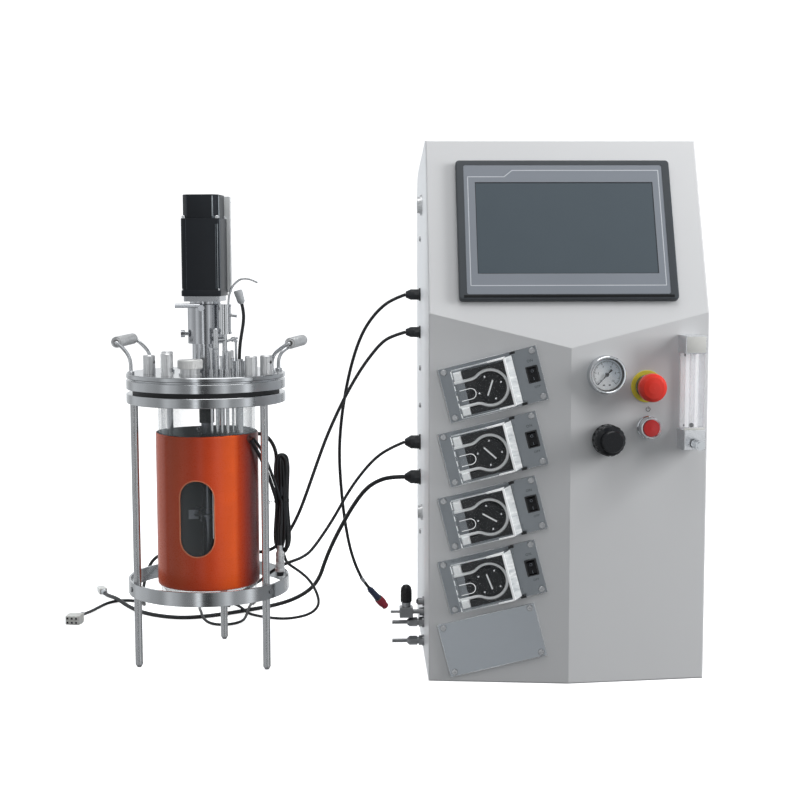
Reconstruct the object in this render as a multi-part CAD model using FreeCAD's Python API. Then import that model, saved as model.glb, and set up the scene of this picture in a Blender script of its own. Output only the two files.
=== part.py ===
import FreeCAD, Part
import math
import os

V = FreeCAD.Vector

# ---------------------------------------------------------------------------
# Bench bioreactor: a stirred glass vessel on a three-legged stand, joined by
# cables to an upright control cabinet with four tube pumps.
# Working frame: X = 0 at the cabinet's left wall, Y = 0 at its front side
# edges, Z = 0 at the bench.  Everything is shifted by (OX, OY) when written,
# so that the object's base box is centred on the origin.
# ---------------------------------------------------------------------------
OX, OY = 28.12, -149.36         # shift to the base centre of the object without its cords

# cabinet
CAB_W = 350.0                # width
CAB_D = 350.0                # depth
SHEET = 2.0                  # sheet thickness
RIDGE = 19.3                 # how far the vertical fold of the lower front stands out
FOLD_Z = 466.2               # height of the fold under the slanted panel, at the sides
TOP_Y, TOP_Z = 97.6, 684.3   # top front edge
TOP_DROP = 0.1316            # fall of the roof per mm towards the back
SEAM_Y = 213.0               # joint between the front shell and the rear cover
# touchscreen
HMI_W, HMI_H, HMI_S = 274.0, 193.0, 111.1
GLASS_W, GLASS_H = 254.0, 178.0
# pump plates on the left facet
PLATE_W, PLATE_H, PLATE_A = 125.0, 68.5, 14.4
PLATE_U, PLATE_Z0, PLATE_PITCH = 80.2, 378.0, 80.7
ROT_X, ROT_Y, TRACK_R, TUBE_D = -4.0, -2.0, 22.0, 3.6
# vessel
VX, VY = -287.5, 118.6       # vessel axis
PLATE_R = 104.0              # head plate radius
HEAD_Z = 385.1               # top of the head plate
LEG_R, LEG_D = 97.7, 10.0
LEG_ANGLES = (-65.8, 54.2, 174.2)
GLASS_R, GLASS_T = 63.5, 4.0
JACKET_R = 67.2
JACKET_Z0, JACKET_Z1 = 106.0, 306.9
RING_Z0, RING_Z1 = 94.8, 113.4
SHAFT_R = 6.0

OUT = {}


def add(name, *shapes):
    OUT.setdefault(name, []).extend(shapes)


def box(x0, x1, y0, y1, z0, z1):
    return Part.makeBox(x1 - x0, y1 - y0, z1 - z0, V(x0, y0, z0))


def cyl(r, p0, p1):
    a, b = V(*p0), V(*p1)
    return Part.makeCylinder(r, (b - a).Length, a, b - a)


def cone(r0, r1, p0, p1):
    a, b = V(*p0), V(*p1)
    return Part.makeCone(r0, r1, (b - a).Length, a, b - a)


def zcyl(r, x, y, z0, z1):
    return Part.makeCylinder(r, z1 - z0, V(x, y, z0))


def revolve(profile, x=0.0, y=0.0):
    """A closed (r, z) outline turned about the vertical line through x, y."""
    pts = [V(x + r, y, z) for r, z in profile]
    w = Part.makePolygon(pts + [pts[0]])
    return Part.Face(w).revolve(V(x, y, 0), V(0, 0, 1), 360)


def prism(points, vec):
    pts = [V(*p) for p in points]
    return Part.Face(Part.makePolygon(pts + [pts[0]])).extrude(V(*vec))


def frame(origin, ux, vx):
    """Placement with local x along ux and local y along vx; local z stands out of the surface."""
    u, v = V(*ux), V(*vx)
    u.normalize()
    v.normalize()
    n = u.cross(v)
    m = FreeCAD.Matrix(u.x, v.x, n.x, origin[0], u.y, v.y, n.y, origin[1],
                       u.z, v.z, n.z, origin[2], 0, 0, 0, 1)
    return FreeCAD.Placement(m)


def place(shape, pl):
    s = shape.copy()
    s.Placement = pl.multiply(s.Placement)
    return s


def turn(shape, centre, axis, deg):
    s = shape.copy()
    s.rotate(V(*centre), V(*axis), deg)
    return s


def fillet(shape, r, pick):
    edges = [e for e in shape.Edges if pick(e)]
    if not edges:
        return shape
    try:
        out = shape.makeFillet(r, edges)
        if out.isValid() and out.Volume > 0:
            return out
    except Exception:
        pass
    done = shape
    return done


def fuse(first, *rest):
    out = first
    for s in rest:
        out = out.fuse(s)
    try:
        out = out.removeSplitter()
    except Exception:
        pass
    return out


def rrect(w, h, r, z0, z1, cx=0.0, cy=0.0):
    """Upright plate w by h with corner radius r, between z0 and z1."""
    b = box(cx - w / 2, cx + w / 2, cy - h / 2, cy + h / 2, z0, z1)
    if r > 0:
        b = b.makeFillet(r, [e for e in b.Edges if abs(e.tangentAt(e.FirstParameter).z) > 0.9])
    return b


def arc_wire(points, label=None, min_r=None):
    """Straight runs joined by tangent arcs, each as large as its two runs allow."""
    pts = [V(*p) for p in points]
    starts, edges, radii = pts[0], [], []
    for i in range(1, len(pts) - 1):
        a, b, c = pts[i - 1], pts[i], pts[i + 1]
        d0, d1 = (b - a), (c - b)
        l0, l1 = d0.Length, d1.Length
        d0.normalize()
        d1.normalize()
        half = d0.getAngle(d1) / 2
        if half < 1e-4:
            continue
        t = 0.45 * min(l0, l1)
        r = t / math.tan(half)
        radii.append(r)
        p0, p2 = b - d0 * t, b + d1 * t
        bis = (d1 - d0)
        bis.normalize()
        mid = b + bis * (r / math.cos(half) - r)
        if (p0 - starts).Length > 1e-6:
            edges.append(Part.LineSegment(starts, p0).toShape())
        edges.append(Part.Arc(p0, mid, p2).toShape())
        starts = p2
    edges.append(Part.LineSegment(starts, pts[-1]).toShape())
    w = Part.Wire(edges)
    if label:
        print("%s: length %.1f mm, radii %s" % (label, w.Length, " ".join("%.0f" % r for r in radii)))
    return w


def tube(points, dia, label=None):
    w = arc_wire(points, label) if isinstance(points, (list, tuple)) else points
    e = w.Edges[0]
    p, d = e.valueAt(e.FirstParameter), e.tangentAt(e.FirstParameter)
    prof = Part.Wire(Part.Circle(p, d, dia / 2).toShape())
    mk = Part.BRepOffsetAPI.MakePipeShell(w)
    mk.setFrenetMode(False)
    mk.add(prof)
    mk.setTransitionMode(1)
    mk.build()
    mk.makeSolid()
    s = mk.shape()
    want = math.pi * dia * dia / 4 * w.Length
    if abs(s.Volume / want - 1) > 0.02:
        print("   volume ratio %.4f for %s" % (s.Volume / want, label))
    return s


# ---------------------------------------------------------------------------
# cabinet frames
# ---------------------------------------------------------------------------
SLOPE = (TOP_Z - FOLD_Z) / TOP_Y
FL = frame((0, 0, 0), (CAB_W / 2, -RIDGE, 0), (0, 0, 1))            # left facet
FR = frame((CAB_W / 2, -RIDGE, 0), (CAB_W / 2, RIDGE, 0), (0, 0, 1))  # right facet
_l = math.hypot(TOP_Y, TOP_Z - FOLD_Z)
SV = (0, TOP_Y / _l, (TOP_Z - FOLD_Z) / _l)
FS = frame((CAB_W / 2, SV[1] * HMI_S, FOLD_Z + SV[2] * HMI_S), (1, 0, 0), SV)  # slanted panel
FW = frame((0, 0, 0), (0, -1, 0), (0, 0, 1))                         # left wall, standing out to -X
_a = math.radians(PLATE_A)


def plate_frame(i):
    local = FreeCAD.Placement(V(PLATE_U, PLATE_Z0 - PLATE_PITCH * i, 0), FreeCAD.Rotation(V(0, 0, 1), PLATE_A))
    return FL.multiply(local)


# ---------------------------------------------------------------------------
# cabinet shells
# ---------------------------------------------------------------------------
def cabinet_outer():
    def roof(y):
        return TOP_Z - TOP_DROP * (y - TOP_Y)
    pts = [V(0, 0, 0), V(0, 0, FOLD_Z), V(0, TOP_Y, TOP_Z), V(0, 312, roof(312))]
    edges = [Part.LineSegment(pts[i], pts[i + 1]).toShape() for i in range(3)]
    edges.append(Part.Arc(V(0, 312, roof(312)), V(0, 339.5, 642.5), V(0, CAB_D, 618)).toShape())
    edges.append(Part.LineSegment(V(0, CAB_D, 618), V(0, CAB_D, 0)).toShape())
    edges.append(Part.LineSegment(V(0, CAB_D, 0), V(0, 0, 0)).toShape())
    body = Part.Face(Part.Wire(edges)).extrude(V(CAB_W, 0, 0))
    wedge = prism([(0, 0.0, 0), (CAB_W, 0.0, 0), (CAB_W / 2, -RIDGE, 0)], (0, 0, FOLD_Z))
    keep = prism([(-1, -30, -1), (-1, -30, FOLD_Z - 30 * SLOPE), (-1, 5, FOLD_Z + 5 * SLOPE), (-1, 5, -1)],
                 (CAB_W + 2, 0, 0))
    return fuse(body, wedge.common(keep))


outer = cabinet_outer()
front_block = outer.common(box(-1, CAB_W + 1, -40, SEAM_Y, -1, 800))
rear_block = outer.common(box(-1, CAB_W + 1, SEAM_Y + 0.4, 400, -1, 800))


def hollow(block, y_open, sign):
    faces = [f for f in block.Faces if abs(f.CenterOfMass.y - y_open) < 1e-3 and abs(abs(f.normalAt(0, 0).y) - 1) < 1e-3]
    return block.makeThickness(faces, -SHEET, 1e-3)


def roof_at(y):
    return TOP_Z - TOP_DROP * (y - TOP_Y)


shell = hollow(front_block, SEAM_Y, 1)
# the rear cover's hollow: its side outline drawn one sheet smaller, open towards the front
y0 = SEAM_Y + 0.4
side = Part.Wire([Part.LineSegment(V(0, y0, 0), V(0, y0, roof_at(y0))).toShape(),
                  Part.LineSegment(V(0, y0, roof_at(y0)), V(0, 312, roof_at(312))).toShape(),
                  Part.Arc(V(0, 312, roof_at(312)), V(0, 339.5, 642.5), V(0, CAB_D, 618)).toShape(),
                  Part.LineSegment(V(0, CAB_D, 618), V(0, CAB_D, 0)).toShape(),
                  Part.LineSegment(V(0, CAB_D, 0), V(0, y0, 0)).toShape()])
inner = Part.Face(Part.Face(side).makeOffset2D(-SHEET).OuterWire).extrude(V(CAB_W - 2 * SHEET, 0, 0))
inner.translate(V(SHEET, 0, 0))
nearer = inner.copy()
nearer.translate(V(0, -2 * SHEET, 0))
rear = rear_block.cut(inner).cut(nearer)
print("shell %.0f mm3, rear cover %.0f mm3" % (shell.Volume, rear.Volume))


def front_edges(e):
    c = e.CenterOfMass
    bb = e.BoundBox
    if bb.YMax > SEAM_Y - 1:
        return bb.YMin < 1 and bb.ZMin < -1
    upright = bb.ZLength > 100 and bb.XLength < 1
    across = bb.XLength > 100 and bb.ZLength < 60
    on_side = abs(c.x) < 0.01 or abs(c.x - CAB_W) < 0.01
    mid = abs(c.x - CAB_W / 2) < 0.01 and c.y < -15
    outer_z = abs(c.z - TOP_Z) < 0.01 or (c.z < 0.01) or (FOLD_Z - 60 < c.z < FOLD_Z + 1 and c.y < 0.01)
    return (upright and (on_side or mid)) or (across and outer_z)


shell = fillet(shell, 2.4, lambda e: front_edges(e))
# openings of the front shell
cuts = []
cuts.append(place(box(-126, 126, -88, 88, -12, 12), FS))
for i in range(4):
    cuts.append(place(box(-26, 59.5, -21, 21, -12, 3), plate_frame(i)))
for i in range(5):
    for sx in (-56, 56):
        for sy in (-29, 29):
            cuts.append(place(cyl(2.1, (sx, sy, -12), (sx, sy, 5)), plate_frame(i)))
for u, z, r in ((43.6, 390.2, 20.6), (96.0, 374.8, 11.2), (98.5, 323.7, 11.2), (45.5, 309.5, 6.5)):
    cuts.append(place(cyl(r, (u, z, -12), (u, z, 5)), FR))
for z in (427.5, 309.5):
    cuts.append(place(cyl(4.2, (149.5, z, -12), (149.5, z, 5)), FR))
for y, z, r in ((131.0, 43.5, 5.2), (131.0, 18.0, 5.2), (131.0, 57.8 + 14.0, 5.2), (184.0, 605.0, 9.2), (177.0, 186.0, 7.2)):
    cuts.append(cyl(r, (-3, y, z), (6, y, z)))
shell = shell.cut(Part.makeCompound(cuts))
add("cabinet_shell", shell)

# rear cover: vents, mains inlet opening, gland holes on its left side wall
cuts = []
for k in range(9):
    for x in (70.0, 190.0):
        cuts.append(box(x, x + 90, CAB_D - 6, CAB_D + 2, 470 + 13 * k, 474.5 + 13 * k))
cuts.append(box(250, 278, CAB_D - 6, CAB_D + 2, 78, 98))
GLANDS = ((483.0, 7.4, 5.6, 20.6), (430.6, 7.2, 5.6, 20.6), (275.6, 9.4, 7.2, 22.1), (226.0, 9.6, 7.2, 22.1))
GLAND_Y = 236.0
for z, r, rh, tip in GLANDS:
    cuts.append(cyl(rh + 0.2, (-3, GLAND_Y, z), (6, GLAND_Y, z)))
for z in (380.8, 328.8, 560.0, 150.0):
    cuts.append(cyl(2.1, (-3, SEAM_Y + 13, z), (6, SEAM_Y + 13, z)))
rear = rear.cut(Part.makeCompound(cuts))
add("rear_cover", rear)
inlet = fuse(rrect(50, 27, 2, 0, 2.2), box(-13.9, 13.9, -9.9, 9.9, -22, 0.5))
inlet = inlet.cut(box(-11.5, 11.5, -7.5, 7.5, -16, 3))
for x, z in ((0, 3.4), (-6, -1.8), (6, -1.8)):
    inlet = fuse(inlet, box(x - 1, x + 1, z - 2, z + 2, -16.5, -4))
add("wall_sockets", place(inlet, frame((264, CAB_D, 88), (-1, 0, 0), (0, 0, 1))))

# power supply standing on the floor sheet inside
ps = box(40, 200, 120, 215, SHEET + 0.2, 62)
add("cabinet_internals", ps)

# ---------------------------------------------------------------------------
# touchscreen
# ---------------------------------------------------------------------------
ring = rrect(HMI_W, HMI_H, 5, 0, 7.0)
ring = fillet(ring, 2.2, lambda e: abs(e.CenterOfMass.z - 7.0) < 0.01)
ring = ring.cut(rrect(GLASS_W + 0.2, GLASS_H + 0.2, 3, 5.0, 8))
hmi = fuse(ring, box(-123, 123, -85, 85, -38, 0.5)).cut(box(-120.5, 120.5, -82.5, 82.5, -39, -2.5))
add("touchscreen_frame", place(hmi, FS))
add("panel_glass", place(rrect(GLASS_W, GLASS_H, 2.9, 5.0, 6.7), FS))


# ---------------------------------------------------------------------------
# pumps
# ---------------------------------------------------------------------------
def screw(x, y, z, r=4.0, h=2.2, cross=True):
    """Pan-head screw with a cross recess, standing on z, along local z."""
    s = fuse(Part.makeCylinder(r, h, V(x, y, z)), Part.makeCylinder(2.0, 8.0, V(x, y, z - 8.0)))
    s = fillet(s, 1.1, lambda e: abs(e.CenterOfMass.z - (z + h)) < 0.01 and e.BoundBox.XLength > r)
    if cross:
        for w, l in ((0.9, 4.2), (4.2, 0.9)):
            s = s.cut(box(x - w / 2, x + w / 2, y - l / 2, y + l / 2, z + h - 1.1, z + h + 1))
    return s


SCREW_X, SCREW_Y = 56.0, 29.0
plate = box(-PLATE_W / 2, PLATE_W / 2, -PLATE_H / 2, PLATE_H / 2, 0, 2.0)
plate = fillet(plate, 1.0, lambda e: abs(e.tangentAt(e.FirstParameter).z) > 0.9)
for sx in (-1, 1):
    for sy in (-1, 1):
        plate = plate.cut(Part.makeCylinder(2.1, 4, V(sx * SCREW_X, sy * SCREW_Y, -1)))
blank = plate.copy()
pplate = plate.cut(box(50.5 - 6.7, 50.5 + 6.7, 0.5 - 9.9, 0.5 + 9.9, -1, 4))
pplate = pplate.cut(Part.makeCylinder(4.6, 4, V(ROT_X, ROT_Y, -1)))

# head: base with a round track pocket that opens to the left
head = box(-34, 21.5, -28.4, 26, 2.0, 14.5)
pocket = fuse(Part.makeCylinder(TRACK_R + TUBE_D / 2 + 0.25, 12, V(ROT_X, ROT_Y, 6.0)),
              box(-36, ROT_X, ROT_Y - 19.0, ROT_Y + 19.0, 6.0, 18))
head = head.cut(pocket).cut(Part.makeCylinder(4.0, 10, V(ROT_X, ROT_Y, 0)))
guide = box(-34, -27.5, -8.5, 4.0, 5.9, 12.5)      # centre guide between the two tube ends
guide = fillet(guide, 2.0, lambda e: abs(e.tangentAt(e.FirstParameter).z) > 0.9 and e.CenterOfMass.x > -30)
head = fuse(head, guide)
lug_a = box(28.6, 35.4, 31.15, 34.0, 2.0, 7.4).cut(cyl(1.55, (32.0, 30, 4.6), (32.0, 35, 4.6)))
lug_b = box(28.6, 35.4, -34.0, -31.15, 2.0, 7.4).cut(cyl(1.55, (32.0, -35, 4.6), (32.0, -30, 4.6)))

# tube: in from the left, round the track, out to the left
A0 = math.radians(120)
P1 = V(ROT_X + TRACK_R * math.cos(A0), ROT_Y + TRACK_R * math.sin(A0), 10)
P2 = V(P1.x, 2 * ROT_Y - P1.y, 10)
KX = P1.x - 7.0 * math.cos(math.radians(30))
KY = P1.y - 7.0 * math.sin(math.radians(30))
KY2 = 2 * ROT_Y - KY
F = 4.0
c30, s30 = math.cos(math.radians(30)), math.sin(math.radians(30))


def corner(prev, here, nxt, t):
    d0, d1 = here - prev, nxt - here
    d0.normalize()
    d1.normalize()
    half = d0.getAngle(d1) / 2
    r = t / math.tan(half)
    bis = d1 - d0
    bis.normalize()
    return here - d0 * t, here + bis * (r / math.cos(half) - r), here + d1 * t


T0, T9 = V(-46.0, KY, 10), V(-46.0, KY2, 10)
K1, K2 = V(KX, KY, 10), V(KX, KY2, 10)
a0, am, a1 = corner(T0, K1, P1, F)
b0, bm, b1 = corner(P2, K2, T9, F)
tw = Part.Wire([Part.LineSegment(T0, a0).toShape(), Part.Arc(a0, am, a1).toShape(),
                Part.LineSegment(a1, P1).toShape(),
                Part.Arc(P1, V(ROT_X + TRACK_R, ROT_Y, 10), P2).toShape(),
                Part.LineSegment(P2, b0).toShape(), Part.Arc(b0, bm, b1).toShape(),
                Part.LineSegment(b1, T9).toShape()])
pump_tube = tube(tw, TUBE_D, "pump tube")
clamp_t = box(-44.5, -35.0, KY + TUBE_D / 2 + 0.1, KY + TUBE_D / 2 + 10.6, 2.0, 15.5)
clamp_b = box(-44.5, -35.0, -28.4, KY2 - TUBE_D / 2 - 0.1, 2.0, 15.5)
clamp_t = fillet(clamp_t, 1.5, lambda e: e.CenterOfMass.z > 15)
clamp_b = fillet(clamp_b, 1.5, lambda e: e.CenterOfMass.z > 15)
motor_g = fuse(Part.makeCylinder(18.0, 46, V(ROT_X, ROT_Y, -49)), box(ROT_X - 20, ROT_X + 20, -20.5, 18.5, -3.0, -0.2))
motor_g = motor_g.cut(Part.makeCylinder(4.3, 6, V(ROT_X, ROT_Y, -5)))

# rotor: shaft, two discs, four pressing rollers, raised bar across the front
ROLL_C, ROLL_R = 15.0, 4.9
rotor = fuse(Part.makeCylinder(3.95, 8.0, V(ROT_X, ROT_Y, -1.5)),
             Part.makeCylinder(17.6, 1.5, V(ROT_X, ROT_Y, 6.3)),
             Part.makeCylinder(17.6, 1.8, V(ROT_X, ROT_Y, 12.4)),
             Part.makeCylinder(7.0, 7.0, V(ROT_X, ROT_Y, 6.4)),
             *[Part.makeCylinder(ROLL_R, 5.2, V(ROT_X + ROLL_C * math.cos(math.radians(a)),
                                                ROT_Y + ROLL_C * math.sin(math.radians(a)), 7.5)) for a in (45, 135, 225, 315)],
             box(ROT_X - 11.5, ROT_X + 11.5, ROT_Y - 1.5, ROT_Y + 1.5, 14.0, 15.6))
for a in (45, 135, 225, 315):
    rotor = rotor.cut(Part.makeCylinder(1.6, 1.0, V(ROT_X + ROLL_C * math.cos(math.radians(a)),
                                                    ROT_Y + ROLL_C * math.sin(math.radians(a)), 13.6)))
ROTOR_PHASE = (59.0, -55.0, -42.0, -82.0)

# cover: clear box hinged at its right edge, its right side sloped
CX0, CX1, CY0, CY1, CZ0, CZ1, CT = -46.5, 30.4, -30.8, 30.8, 2.4, 24.0, 1.8
prof = [(CX0, CZ0), (CX0, CZ1), (22.0, CZ1), (CX1, 8.0), (CX1, CZ0)]
cov = prism([(x, CY0, z) for x, z in prof], (0, CY1 - CY0, 0))
cov = fillet(cov, 1.2, lambda e: e.CenterOfMass.z > 23.9 or (abs(e.tangentAt(e.FirstParameter).z) > 0.9 and e.CenterOfMass.x < 0))
inn = [(CX0 + CT, CZ0 - 2), (CX0 + CT, CZ1 - CT), (22.0 - 0.75, CZ1 - CT), (CX1 - CT, 8.0 - 0.7), (CX1 - CT, CZ0 - 2)]
cov = cov.cut(prism([(x, CY0 + CT, z) for x, z in inn], (0, CY1 - CY0 - 2 * CT, 0)))
for y in (KY, KY2):
    cov = cov.cut(box(CX0 - 1, CX0 + CT + 0.6, y - 2.6, y + 2.6, CZ0 - 1, 12.6))
# finger tab: a shallow U-shaped rib on the front
tab = fuse(box(-41.0, -28.5, -9.6, -8.4, CZ1 - 0.2, CZ1 + 0.9), box(-41.0, -28.5, 3.4, 4.6, CZ1 - 0.2, CZ1 + 0.9),
           Part.makeCylinder(7.1, 1.1, V(-28.5, -2.5, CZ1 - 0.2)).cut(Part.makeCylinder(5.9, 3, V(-28.5, -2.5, CZ1 - 1)))
           .cut(box(-40, -28.5, -12, 8, CZ1 - 1, CZ1 + 3)))
cov = fuse(cov, tab)
knuck = fuse(box(27.5, 32.0, CY0, CY0 + 9, 3.1, 6.1), cyl(1.5, (32.0, CY0 - 2.6, 4.6), (32.0, CY0 + 9, 4.6)))
knuck2 = fuse(box(27.5, 32.0, CY1 - 9, CY1, 3.1, 6.1), cyl(1.5, (32.0, CY1 - 9, 4.6), (32.0, CY1 + 2.6, 4.6)))
cov = fuse(cov, knuck, knuck2)

# rocker switch
SX, SY = 50.5, 0.5
sw = fuse(rrect(15, 21, 1.0, 2.0, 4.2, SX, SY), box(SX - 6.4, SX + 6.4, SY - 9.7, SY + 9.7, -16, 2.1))
sw = sw.cut(box(SX - 5.5, SX + 5.5, SY - 9.1, SY + 9.1, -6.5, 6))
rk = [(-7.9, -0.8), (-7.6, 3.6), (0.0, 4.7), (7.6, 6.0), (7.9, 1.2), (6.0, -3.0), (-6.0, -3.0)]
ROCK_Z = 1.2
rocker = prism([(SX - 5.2, SY + a, ROCK_Z + b - 0.4) for a, b in rk], (10.4, 0, 0))
rocker = fuse(rocker, cyl(1.0, (SX - 6.0, SY, ROCK_Z), (SX + 6.0, SY, ROCK_Z)))
sw = sw.cut(cyl(1.05, (SX - 6.1, SY, ROCK_Z), (SX + 6.1, SY, ROCK_Z)))

for i in range(4):
    pf = plate_frame(i)
    add("front_plates", place(pplate, pf))
    add("pump_heads", place(head, pf), place(lug_a, pf), place(lug_b, pf))
    add("pump_tubing", place(pump_tube, pf))
    add("pump_tubing", place(clamp_t, pf), place(clamp_b, pf))
    add("cabinet_internals", place(motor_g, pf))
    add("pump_rotor_%d" % (i + 1), place(turn(rotor, (ROT_X, ROT_Y, 0), (0, 0, 1), ROTOR_PHASE[i]), pf))
    add("pump_cover_%d" % (i + 1), place(cov, pf))
    add("switch_bodies", place(sw, pf))
    add("pump_rocker_%d" % (i + 1), place(rocker, pf))
add("front_plates", place(blank, plate_frame(4)))
one_screw = screw(0, 0, 2.0)
for i in range(5):
    for sx in (-1, 1):
        for sy in (-1, 1):
            s = one_screw.copy()
            s.translate(V(sx * SCREW_X, sy * SCREW_Y, 0))
            add("panel_screws", place(s, plate_frame(i)))
side_screw = screw(0, 0, 0.0, 3.6, 2.4)
for z in (380.8, 328.8, 560.0, 150.0):
    s = side_screw.copy()
    s.translate(V(-(SEAM_Y + 13), z, 0))
    add("panel_screws", place(s, FW))

# ---------------------------------------------------------------------------
# right facet: gauge, emergency stop, power button, regulator knob, flow meter
# ---------------------------------------------------------------------------
GU, GZ = 43.6, 390.2
case = revolve([(0, -24), (5, -24), (5, -12), (20.2, -12), (20.2, 0), (23.4, 0), (23.4, 9.5), (22.2, 11.5), (20.6, 11.5),
                (20.6, 5.0), (0, 5.0)]).cut(Part.makeCylinder(0.85, 6, V(0, 0, 0)))
case = place(case, FR.multiply(FreeCAD.Placement(V(GU, GZ, 0), FreeCAD.Rotation())))
add("gauge_case", case)
add("panel_glass", place(Part.makeCylinder(20.5, 1.2, V(GU, GZ, 10.0)), FR))
needle = prism([(-8.5, -1.5, 6.6), (-3, -0.7, 6.6), (17.0, -0.25, 6.6), (17.0, 0.25, 6.6), (-3, 0.7, 6.6), (-8.5, 1.5, 6.6)], (0, 0, 0.7))
needle = fuse(needle, Part.makeCylinder(2.2, 1.6, V(0, 0, 6.3)), Part.makeCylinder(0.8, 5.0, V(0, 0, 2.0)))
needle = turn(needle, (0, 0, 0), (0, 0, 1), -133)
needle.translate(V(GU, GZ, 0))
add("gauge_needle", place(needle, FR))

EU, EZ = 96.0, 374.8
base = revolve([(10.6, -28), (11.0, -28), (11.0, 0), (20.0, 0), (20.0, 1.4), (14.2, 1.4), (14.2, 12.5), (13.2, 14.0), (10.6, 14.0)])
base = place(base, FR.multiply(FreeCAD.Placement(V(EU, EZ, 0), FreeCAD.Rotation())))
add("button_bases", base)
plunger = revolve([(0, -14), (10.53, -14), (10.53, 19.0), (4.0, 19.0), (4.0, 24.0), (0, 24.0)])
add("estop_plunger", place(plunger, FR.multiply(FreeCAD.Placement(V(EU, EZ, 0), FreeCAD.Rotation()))))
mush = revolve([(4.05, 19.2), (16.2, 19.2), (17.6, 20.8), (17.6, 26.5), (16.6, 29.2), (13.0, 31.0), (7.0, 32.0), (0, 32.3), (0, 24.2), (4.05, 24.2)])
add("estop_head", place(mush, FR.multiply(FreeCAD.Placement(V(EU, EZ, 0), FreeCAD.Rotation()))))

PU, PZ = 98.5, 323.7
bezel = revolve([(10.9, -20), (11.0, -20), (11.0, 0), (14.2, 0), (14.2, 2.5), (13.3, 4.0), (13.3, 15.0), (12.6, 16.0), (10.9, 16.0)])
add("button_bases", place(bezel, FR.multiply(FreeCAD.Placement(V(PU, PZ, 0), FreeCAD.Rotation()))))
cap = revolve([(0, -6), (10.8, -6), (10.8, 15.2), (10.0, 16.4), (0, 16.9)])
add("power_cap", place(cap, FR.multiply(FreeCAD.Placement(V(PU, PZ, 0), FreeCAD.Rotation()))))

RU, RZ = 45.5, 309.5
knob = revolve([(0, -9), (5.0, -9), (5.0, 2.5), (18.6, 2.5), (19.4, 3.5), (19.4, 17.5), (17.6, 20.0), (14.0, 21.5), (13.6, 30.0),
                (12.4, 31.5), (0, 31.5)])
for k in range(16):
    a = math.radians(22.5 * k)
    knob = knob.cut(Part.makeCylinder(1.9, 20, V(20.3 * math.cos(a), 20.3 * math.sin(a), 5.0)))
add("regulator_knob", place(knob, FR.multiply(FreeCAD.Placement(V(RU, RZ, 0), FreeCAD.Rotation()))))
reg = revolve([(5.06, -34), (14, -34), (14, -2.3), (6.4, -2.3), (6.4, 0.05), (11.5, 0.05), (11.5, 2.2), (5.06, 2.2)])
add("cabinet_internals", place(reg, FR.multiply(FreeCAD.Placement(V(RU, RZ, 0), FreeCAD.Rotation()))))

# flow meter: top block, clear body with the float's bore, bottom block with the valve knob
MU = 149.5
MZ0, MZ1, MZ2, MZ3 = 297.5, 322.0, 416.5, 438.6
topb = box(MU - 13.5, MU + 13.5, MZ2, MZ3, 0.05, 29)
topb = fillet(topb, 0.8, lambda e: e.CenterOfMass.z > 28.9)
topb = fuse(topb, cyl(4.0, (MU, 427.5, -14), (MU, 427.5, 0.2)))
botb = box(MU - 13.5, MU + 13.5, MZ0, MZ1, 0.05, 29)
botb = fillet(botb, 0.8, lambda e: e.CenterOfMass.z > 28.9)
botb = fuse(botb, cyl(4.0, (MU, 309.5, -14), (MU, 309.5, 0.2)))
botb = botb.cut(cyl(3.5, (MU, 305.5, 8), (MU, 305.5, 31)))
add("flow_meter_blocks", place(topb, FR), place(botb, FR))
acr = box(MU - 12.6, MU + 12.6, MZ1 + 0.02, MZ2 - 0.02, 2.0, 26.0)
acr = fillet(acr, 1.0, lambda e: abs(e.tangentAt(e.FirstParameter).y) > 0.9)
acr = acr.cut(cyl(3.6, (MU, MZ1 + 1.0, 15), (MU, MZ2 + 1, 15)))
add("flow_meter_body", place(acr, FR))
ball = Part.makeSphere(2.9, V(MU, 327.0, 15))
add("flow_float", place(ball, FR))
fk_ = fuse(cyl(3.45, (MU, 305.5, 9), (MU, 305.5, 33)), cyl(6.1, (MU, 305.5, 32), (MU, 305.5, 49)), cyl(4.4, (MU, 305.5, 49), (MU, 305.5, 50.4)))
for k in range(24):
    a = math.radians(15 * k)
    fk_ = fk_.cut(cyl(0.4, (MU + 6.2 * math.cos(a), 305.5 + 6.2 * math.sin(a), 34), (MU + 6.2 * math.cos(a), 305.5 + 6.2 * math.sin(a), 47.5)))
add("flow_knob", place(fk_, FR))

# ---------------------------------------------------------------------------
# left wall: cable glands, sockets, hose fittings, needle valve
# ---------------------------------------------------------------------------
for z, r, rh, tip in GLANDS:
    p = lambda x: (x, GLAND_Y, z)
    g = fuse(cyl(rh, p(10), p(-0.5)), cyl(r + 1.6, p(0), p(-2.2)))
    hexa = prism([(-2.2, GLAND_Y + (r + 1.0) * math.cos(math.radians(60 * k)), z + (r + 1.0) * math.sin(math.radians(60 * k))) for k in range(6)],
                 (-6.3, 0, 0))
    g = fuse(g, hexa, cyl(r, p(-8.4), p(-13.5)), cone(r, 4.2, p(-13.5), p(-tip)))
    add("cable_glands", g)
for y, z, r in ((184.0, 605.0, 14.0), (177.0, 186.0, 10.8)):
    p = lambda x: (x, y, z)
    s = fuse(cyl(r * 0.62, p(10), p(-0.5)), cyl(r, p(0), p(-2.6)), cyl(r * 0.8, p(-2.5), p(-6.6)))
    s = s.cut(cyl(r * 0.55, p(-4.0), p(-8)))
    add("wall_sockets", s)


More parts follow.
